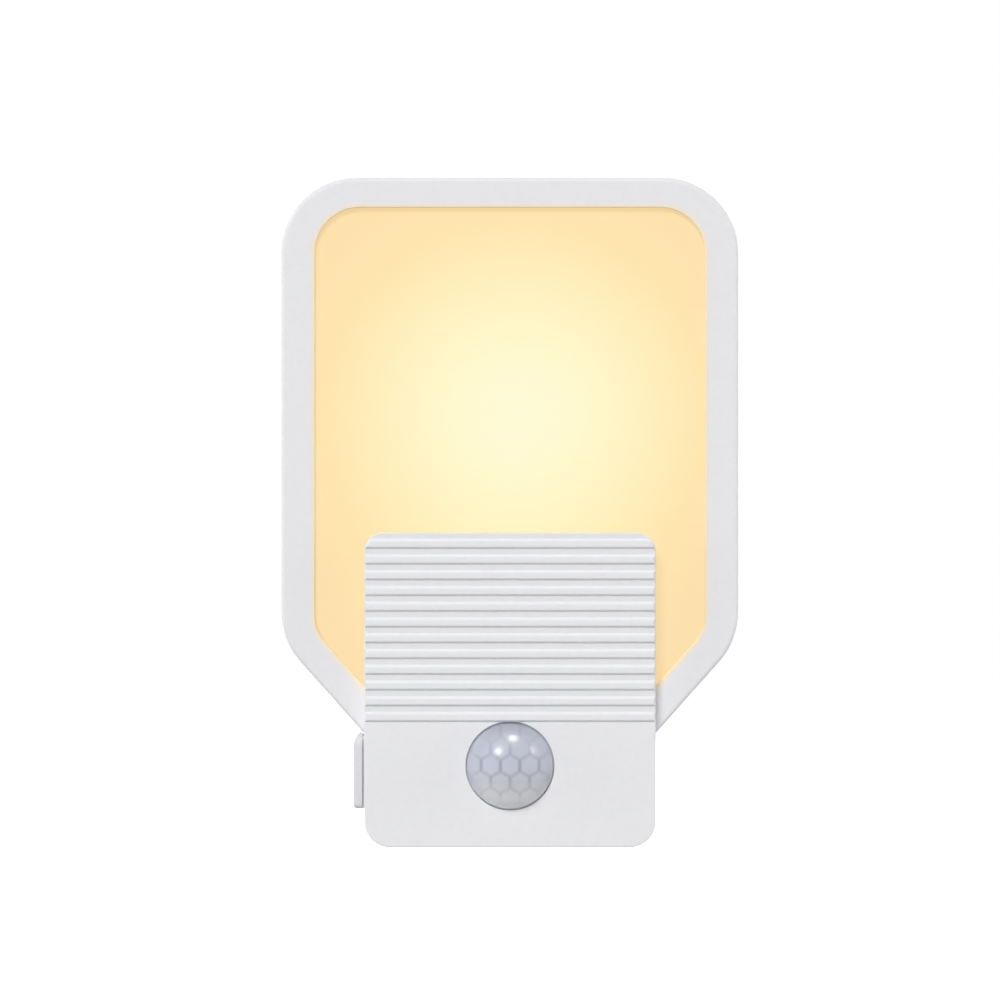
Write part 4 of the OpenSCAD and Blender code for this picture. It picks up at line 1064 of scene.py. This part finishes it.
def make_plug_blades():
    maker = Maker()
    tip, tail = BLADE_HIGH[1], BLADE_LOW[1]
    shoulder = INSERT_LOW[1]
    wide, slim, corner = BLADE_HIGH[2], 1.5, 1.2
    hole_back, hole_r = 4.4, 1.6
    outline = [
        (tail, -slim), (shoulder, -slim), (shoulder, -wide), (tip - corner, -wide), (tip, corner - wide),
        (tip, wide - corner), (tip - corner, wide), (shoulder, wide), (shoulder, slim), (tail, slim),
    ]
    radii = [0.2] * 3 + [0.5] * 4 + [0.2] * 3
    face = [(0.32, 0), (0.22, 0), (0.06, 0.06), (0, 0.22)]
    profile = both_ends(face, -BLADE_HALF_T, BLADE_HALF_T)
    for middle in (-BLADE_X, BLADE_X):
        sides, holes = [], []
        for d, off in profile:
            points = flat_list(inset_arcs(outline, radii, d, 0.05, 4))
            sides.append(maker.side_ring(middle + off, points))
            holes.append(maker.side_ring(middle + off, circle_points(tip - hole_back, 0, hole_r + d, 40)))
        maker.bands(sides)
        maker.bands(holes)
        maker.fill(sides[0], holes[0])
        maker.fill(sides[-1], holes[-1])
    fit(maker.finish("plug_blade_pair"), "plug_brass", "plug_blades")


def make_case_screws():
    """Four pan-head screws with a cross recess, one on each place of the body's bosses."""
    head_r, head_h, shank_r = 2.6, 1.8, 1.45
    rim_h, dome_in, point_h = 0.7, 0.9, 1.2
    model = Maker()
    profile = [(shank_r, point_h - SCREW_L), (shank_r, -0.05), (head_r, -0.05), (head_r, rim_h)]
    for t in quarter(6):
        profile.append((head_r - dome_in * (1 - math.cos(t)), rim_h + (head_h - rim_h) * math.sin(t)))
    rings = [model.ring(circle_points(0, 0, r, 40), y) for r, y in profile]
    model.bands(rings)
    model.fan(rings[0], model.loop([(0, -SCREW_L, 0)])[0])
    model.cap(rings[-1])
    model = model.finish("screw_model")
    cross = Maker()
    arm, half = 1.4, 0.35
    star = []
    for k in range(4):
        for x, z in ((arm, -half), (arm, half), (half, half)):
            for _ in range(k):
                x, z = -z, x
            star.append((x, z))
    levels = [(0.6, head_h - 0.9), (1, head_h + 0.3)]
    cross.solid([cross.ring([(x * s, z * s) for x, z in star], y) for s, y in levels])
    combine(model, "screw_recess", cross.finish("recess_cutter"), "plated_steel")
    sharpen(model.data)
    places = [(x, SCREW_SEAT, z) for x, z in SCREW_PLACES]
    placed_copies("case_screw_set", model, places, "plated_steel", "case_screws")


# Small components on the boards and in the switch
AXES = ((1, 0, 0), (0, 1, 0), (0, 0, 1))


def box_stack(maker, low, high, levels, radius, steps=4):
    """Closed stack of rounded boxes, each with its inset and its depth."""
    maker.solid([
        maker.ring(box_points(low[0] + d, low[2] + d, high[0] - d, high[2] - d, radius, steps), y)
        for d, y in levels
    ])


def moulded_block(maker, low, high, edge=0.3, draft=0.0):
    """Block with eased edges that narrows by its draft towards the front."""
    levels = both_ends(round_edge(edge, 4)[::-1], low[1], high[1])
    slope = draft / (high[1] - low[1])
    box_stack(maker, low, high, [(d + slope * (high[1] - y), y) for d, y in levels], edge)


def hoop(maker, middle, across, up, radius, count):
    """Ring of points around a middle, in the plane of two directions."""
    points = []
    for k in range(count):
        turn = 2 * math.pi * k / count
        c, s = radius * math.cos(turn), radius * math.sin(turn)
        points.append([m + c * a + s * b for m, a, b in zip(middle, across, up)])
    return maker.loop(points)


def turned(maker, middle, profile, count=40, along=1):
    """Closed turned shape along one axis, the depth if none is given, from its radii and levels."""
    rings = []
    for radius, level in profile:
        centre = [level if axis == along else v for axis, v in enumerate(middle)]
        rings.append(hoop(maker, centre, AXES[(along + 1) % 3], AXES[(along + 2) % 3], radius, count))
    maker.solid(rings)


def bent_leg(maker, path, z, radius, count=12):
    """Closed round wire along points at one height, each with its heading."""
    rings = []
    for x, y, heading in path:
        across = (-math.sin(heading), math.cos(heading), 0)
        rings.append(hoop(maker, (x, y, z), across, AXES[2], radius, count))
    maker.solid(rings)


def make_film_capacitor():
    """Potted box capacitor on two feet, with its two leads."""
    maker = Maker()
    low, high = box_mm("film_capacitor")
    middle_z = box_middle(low, high)[2]
    board = high[1]
    root, foot_w, foot_in, lead_in, lead_r = board - 0.9, 1.4, 0.8, 3.5, 0.3
    moulded_block(maker, low, (high[0], board - 0.5, high[2]), 0.7, 0.15)
    for x in (low[0] + 0.6, high[0] - 0.6 - foot_w):
        moulded_block(maker, (x, root, low[2] + foot_in), (x + foot_w, board, high[2] - foot_in), 0.15)
    for x in (low[0] + lead_in, high[0] - lead_in):
        turned(maker, (x, 0, middle_z), [(lead_r, root), (lead_r, board)], 16)
    fit(maker.finish("film_capacitor_box"), "capacitor_red", "film_capacitor")


def make_bridge_rectifier():
    """Moulded bridge with four bent legs."""
    maker = Maker()
    low, high = box_mm("bridge_rectifier")
    inset, leg, sheet, end_gap = 0.75, 1.0, 0.25, 1.2
    board = high[1]
    knee = board - 1.4
    case_low, case_high = (low[0], low[1], low[2] + inset), (high[0], board - 0.3, high[2] - inset)
    moulded_block(maker, case_low, case_high, 0.25, 0.2)
    fit(maker.finish("bridge_rectifier_case"), "black_resin", "bridge_rectifier")
    maker = Maker()
    for out, way in ((low[2], 1), (high[2], -1)):
        root, bend = out + way * (inset + 0.5), out + way * sheet
        section = [
            (knee, root), (knee, out + way * 0.1), (knee + 0.1, out), (board, out), (board, bend),
            (knee + sheet, bend), (knee + sheet, root),
        ]
        for x in (low[0] + end_gap, high[0] - end_gap - leg):
            maker.solid([maker.side_ring(side, section) for side in (x, x + leg)])
    fit(maker.finish("bridge_rectifier_legs"), "plated_steel", "bridge_rectifier")


def make_can(name, node, slot, crimp):
    """Round capacitor with a crimped base, a rounded lip and a sunk end."""
    maker = Maker()
    low, high = box_mm(node)
    radius = (high[0] - low[0]) / 2
    top, base = low[1], high[1]
    groove = base - crimp
    profile = [
        (radius - 0.25, base), (radius - 0.07, base - 0.08), (radius, base - 0.3), (radius, groove),
        (radius - 0.2, groove - 0.15), (radius - 0.2, groove - 0.35), (radius, groove - 0.5),
    ]
    profile += [(radius - d, top + y) for d, y in round_edge(0.45, 6)]
    profile += [(radius - 0.7, top), (radius - 0.78, top + 0.15), (radius - 0.9, top + 0.18)]
    turned(maker, box_middle(low, high), profile, 48)
    fit(maker.finish(name), slot, node)


def make_fuse_resistor():
    """Resistor with thick ends on two bent legs."""
    maker = Maker()
    low, high = box_mm("fuse_resistor")
    radius, leg, bend = (high[2] - low[2]) / 2, 0.3, 0.5
    x_mid, _, z_mid = box_middle(low, high)
    y_mid = low[1] + radius
    first = low[0] + 3 * leg
    end = [
        (0.5, 0), (radius - 0.5, 0), (radius - 0.12, 0.12), (radius, 0.45), (radius, 1.5),
        (radius - 0.08, 1.8), (radius - 0.25, 2.2),
    ]
    turned(maker, (0, y_mid, z_mid), both_ends(end, first, 2 * x_mid - first), along=0)
    fit(maker.finish("fuse_resistor_body"), "resistor_blue", "fuse_resistor")
    maker = Maker()
    knee_x, knee_y = low[0] + leg + bend, y_mid + bend
    path = [(first + 0.2, y_mid, -math.pi)]
    path += [(knee_x - bend * math.sin(t), knee_y - bend * math.cos(t), -math.pi - t) for t in quarter(6)]
    path.append((low[0] + leg, high[1], -1.5 * math.pi))
    bent_leg(maker, path, z_mid, leg)
    bent_leg(maker, [(2 * x_mid - x, y, math.pi - turn) for x, y, turn in path], z_mid, leg)
    fit(maker.finish("fuse_resistor_legs"), "plated_steel", "fuse_resistor")


def make_varistor():
    """Dipped disc with a rounded rim and the coat running down its two legs."""
    maker = Maker()
    low, high = box_mm("varistor")
    radius, rim, leg = (high[2] - low[2]) / 2, 1.1, 0.3
    x_mid, _, z_mid = box_middle(low, high)
    board = high[1]
    side = [(radius - y, d) for d, y in round_edge(rim, 6)]
    turned(maker, (x_mid, low[1] + radius, z_mid), both_ends(side, low[0], high[0]), 56, along=0)
    coat = [(0.8, -1.9), (0.6, -0.9), (leg + 0.06, -0.5), (leg, -0.45), (leg, 0)]
    coat = [(r, board + y) for r, y in coat]
    for z in (z_mid - radius / 2, z_mid + radius / 2):
        turned(maker, (x_mid, 0, z), coat, 16)
    fit(maker.finish("varistor_disc"), "capacitor_blue", "varistor")


def make_light_sensor():
    """Small light sensor: a carrier with a clear dome."""
    maker = Maker()
    low, high = box_mm("light_sensor")
    seat, radius = high[1] - 0.35, 0.55
    moulded_block(maker, (low[0], seat, low[2]), high, 0.06)
    dome = [(radius, seat + 0.05)]
    dome += [(radius * math.cos(t), seat + (low[1] - seat) * math.sin(t)) for t in quarter(8)[:-1]]
    turned(maker, box_middle(low, high), dome, 24)
    fit(maker.finish("light_sensor_dome"), "dark_window", "light_sensor")


def make_sensor_window():
    maker = Maker()
    low, high = box_mm("sensor_window")
    maker.plate(box_points(low[0], low[2], high[0], high[2], 0.3, 4), low[1], high[1], edge=0.08)
    fit(maker.finish("sensor_window_pane"), "dark_window", "sensor_window")


def make_switch_contact():
    """Contact bridge: a thin strip with two embossed runners."""
    maker = Maker()
    low, high = box_mm("switch_contact")
    middle_x, half, end_gap = (low[0] + high[0]) / 2, 0.3, 0.5
    maker.plate(box_points(low[0], low[2], high[0], high[2], 0.4, 4), low[1], low[1] + 0.2, edge=0.03)
    for x in (middle_x - 0.7, middle_x + 0.7):
        start, end = (x - half, low[1] + 0.1, low[2] + end_gap), (x + half, high[1], high[2] - end_gap)
        moulded_block(maker, start, end, 0.12)
    fit(maker.finish("switch_contact_bridge"), "plug_brass", "switch_contact", "switch")


def row_places(low, high, size, count):
    """Middles of a row of equal pieces that fills the length between two ends."""
    return [low + size / 2 + (high - low - size) * i / (count - 1) for i in range(count)]


def make_lamp_leds():
    """White cups of the light-emitting diodes and the resin in them, on the places of the lamp board."""
    low, high = box_mm("lamp_leds")
    led_w, led_h, columns, rows = 3.5, 2.8, 3, 4
    top = low[1] - high[1]
    columns = row_places(low[0], high[0], led_w, columns)
    rows = row_places(low[2], high[2], led_h, rows)
    places = [(x, high[1], z) for x in columns for z in rows]
    half = (led_w / 2, 0, led_h / 2)
    cup = [
        (0, 0), (0, top + 0.08), (0.02, top + 0.02), (0.08, top), (0.42, top), (0.46, top + 0.03),
        (0.7, -0.4),
    ]
    resin = [(0.68, -0.39), (0.5, top + 0.08), (0.6, top + 0.05), (0.9, top + 0.02)]
    for name, slot, levels in (("lamp_led_cups", "white_inner", cup), ("lamp_led_resin", "led_resin", resin)):
        maker = Maker()
        box_stack(maker, [-v for v in half], half, levels, 0.25)
        placed_copies(name, maker.finish(name + "_model"), places, slot, "lamp_leds")


def make_pins(name, node, count, along):
    """Row of square pins with tapered ends."""
    low, high = box_mm(node)
    half = (high[2 - along] - low[2 - along]) / 2
    taper, taper_l = 0.45 * half, 0.4
    levels = both_ends([(taper, 0), (0, taper_l)], low[1], high[1])
    maker = Maker()
    box_stack(maker, [-half] * 3, [half] * 3, levels, 0.05, 2)
    places = []
    for spot in row_places(low[along], high[along], 2 * half, count):
        place = box_middle(low, high)
        place[1], place[along] = 0, spot
        places.append(place)
    placed_copies(name, maker.finish("pin_model"), places, "plug_brass", node)


make_front_cover()
make_ribs()
make_rear_housing()
make_bezel()
make_panel_back()
make_diffuser()
make_lens()
make_knob()
make_plug_insert()
make_plug_blades()
make_case_screws()
make_film_capacitor()
make_bridge_rectifier()
make_fuse_resistor()
make_varistor()
make_can("filter_capacitor_can", "filter_capacitor", "capacitor_blue", 0.9)
make_can("chip_capacitor_can", "chip_capacitor", "capacitor_can", 1.1)
make_light_sensor()
make_sensor_window()
make_switch_contact()
make_lamp_leds()
make_pins("link_pin_row", "link_pins", 3, 0)
make_pins("switch_terminal_row", "switch_terminals", 4, 2)


# Stage, light and camera
def seen_directly(tree):
    """Node that gives 1 to rays from the camera, in reflections and through clear pieces, and else 0."""
    path = add_node(tree, "LightPath")
    seen = add_node(tree, "Math", (path, "Is Camera Ray"), (path, "Is Glossy Ray"), operation="MAXIMUM")
    return add_node(tree, "Math", (seen, 0), (path, "Is Transmission Ray"), operation="MAXIMUM"), 0


def make_floor():
    """Floor that looks white by itself and lights the object only as a grey floor does."""
    maker = Maker()
    half, level = 4000, -260
    maker.cap(maker.loop([(x * half, y * half, level) for x, y in ((-1, -1), (1, -1), (1, 1), (-1, 1))]))
    floor = maker.finish("studio_floor")
    finish = bpy.data.materials.new("studio_floor_white")
    finish.use_nodes = True
    tree = finish.node_tree
    shader = set_values(
        tree.nodes["Principled BSDF"], Base_Color=(0.5, 0.5, 0.5, 1), Roughness=1.0, Specular_IOR_Level=0.0)
    dark, glow = (add_node(tree, "Emission", Strength=strength) for strength in (0.0, 0.92))
    choose = add_node(tree, "MixShader", seen_directly(tree), (dark, 0), (glow, 0))
    both = add_node(tree, "AddShader", (shader, 0), (choose, 0))
    set_values(tree.nodes["Material Output"], Surface=(both, 0))
    floor.data.materials.append(finish)


def make_world():
    world = bpy.data.worlds.new("studio_world")
    bpy.context.scene.world = world
    world.use_nodes = True
    tree = world.node_tree
    soft = set_values(tree.nodes["Background"], Color=(0.97, 0.98, 1.0, 1), Strength=0.24)
    white = add_node(tree, "Background", Color=(1, 1, 1, 1), Strength=1.0)
    choose = add_node(tree, "MixShader", seen_directly(tree), (soft, 0), (white, 0))
    set_values(tree.nodes["World Output"], Surface=(choose, 0))


LAMP_AIM = Vector((0, -0.025, 0.03))
# Direction, distance, size and power of each lamp, whether it lights surfaces and whether it is reflected
LAMPS = {
    "key_softbox": ((-0.17, -0.84, 0.51), 6.0, (2.1, 2.1), 264.0, True, False),
    "left_softbox": ((-1.0, -0.15, 0.10), 2.5, (1.2, 1.6), 12.5, True, False),
    "right_softbox": ((1.0, -0.15, 0.10), 2.5, (1.2, 1.6), 14.5, True, False),
    "left_rear_softbox": ((-1.0, 0.5, 0.12), 2.5, (1.2, 0.7), 14.5, True, False),
    "right_rear_softbox": ((1.0, 0.5, 0.12), 2.5, (1.2, 0.7), 13.0, True, False),
    "rear_softbox": ((0.15, 1.0, 0.12), 3.0, (1.5, 0.8), 34.0, True, True),
    "left_sheen": ((-1.0, -0.15, 0.10), 2.5, (1.2, 1.6), 6.5, False, True),
    "right_sheen": ((1.0, -0.15, 0.10), 2.5, (1.2, 1.6), 6.0, False, True),
    "left_glint": ((-0.48, -0.64, 0.60), 3.0, (0.60, 0.60), 21.0, False, True),
    "top_glint": ((0.10, -0.24, 0.97), 2.7, (0.80, 0.50), 20.0, False, True),
    "right_glint": ((0.80, -0.24, 0.555), 3.0, (0.25, 0.80), 8.0, False, True),
}


def add_lamp(name, way, distance, size, power, diffuse, glossy):
    lamp = bpy.data.lights.new(name, "AREA")
    lamp.shape = "RECTANGLE"
    lamp.size, lamp.size_y = size
    lamp.energy = power
    obj = linked(name, lamp)
    obj.location = LAMP_AIM + Vector(way).normalized() * distance
    obj.rotation_euler = (LAMP_AIM - obj.location).to_track_quat("-Z", "Y").to_euler()
    obj.visible_camera = False
    obj.visible_diffuse = diffuse
    obj.visible_glossy = glossy


def make_camera():
    camera = bpy.data.cameras.new("photo_camera")
    camera.sensor_width = 36
    camera.lens = 104.96
    camera.clip_start = 0.01
    camera.clip_end = 20
    obj = linked("photo_camera", camera)
    obj.location = (-1.715 * MM, -530 * MM, 32.6 * MM)
    obj.rotation_euler = (math.pi / 2, 0, 0)
    bpy.context.scene.camera = obj


for cad_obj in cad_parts.values():
    for cad_slot in cad_obj.material_slots:
        key = cad_slot.material.name.split(".")[0] if cad_slot.material else ""
        if key in FINISHES:
            cad_slot.material = FINISHES[key]

make_floor()
make_world()
for lamp_name, lamp_values in LAMPS.items():
    add_lamp(lamp_name, *lamp_values)
make_camera()
bpy.context.scene.view_settings.view_transform = "Standard"
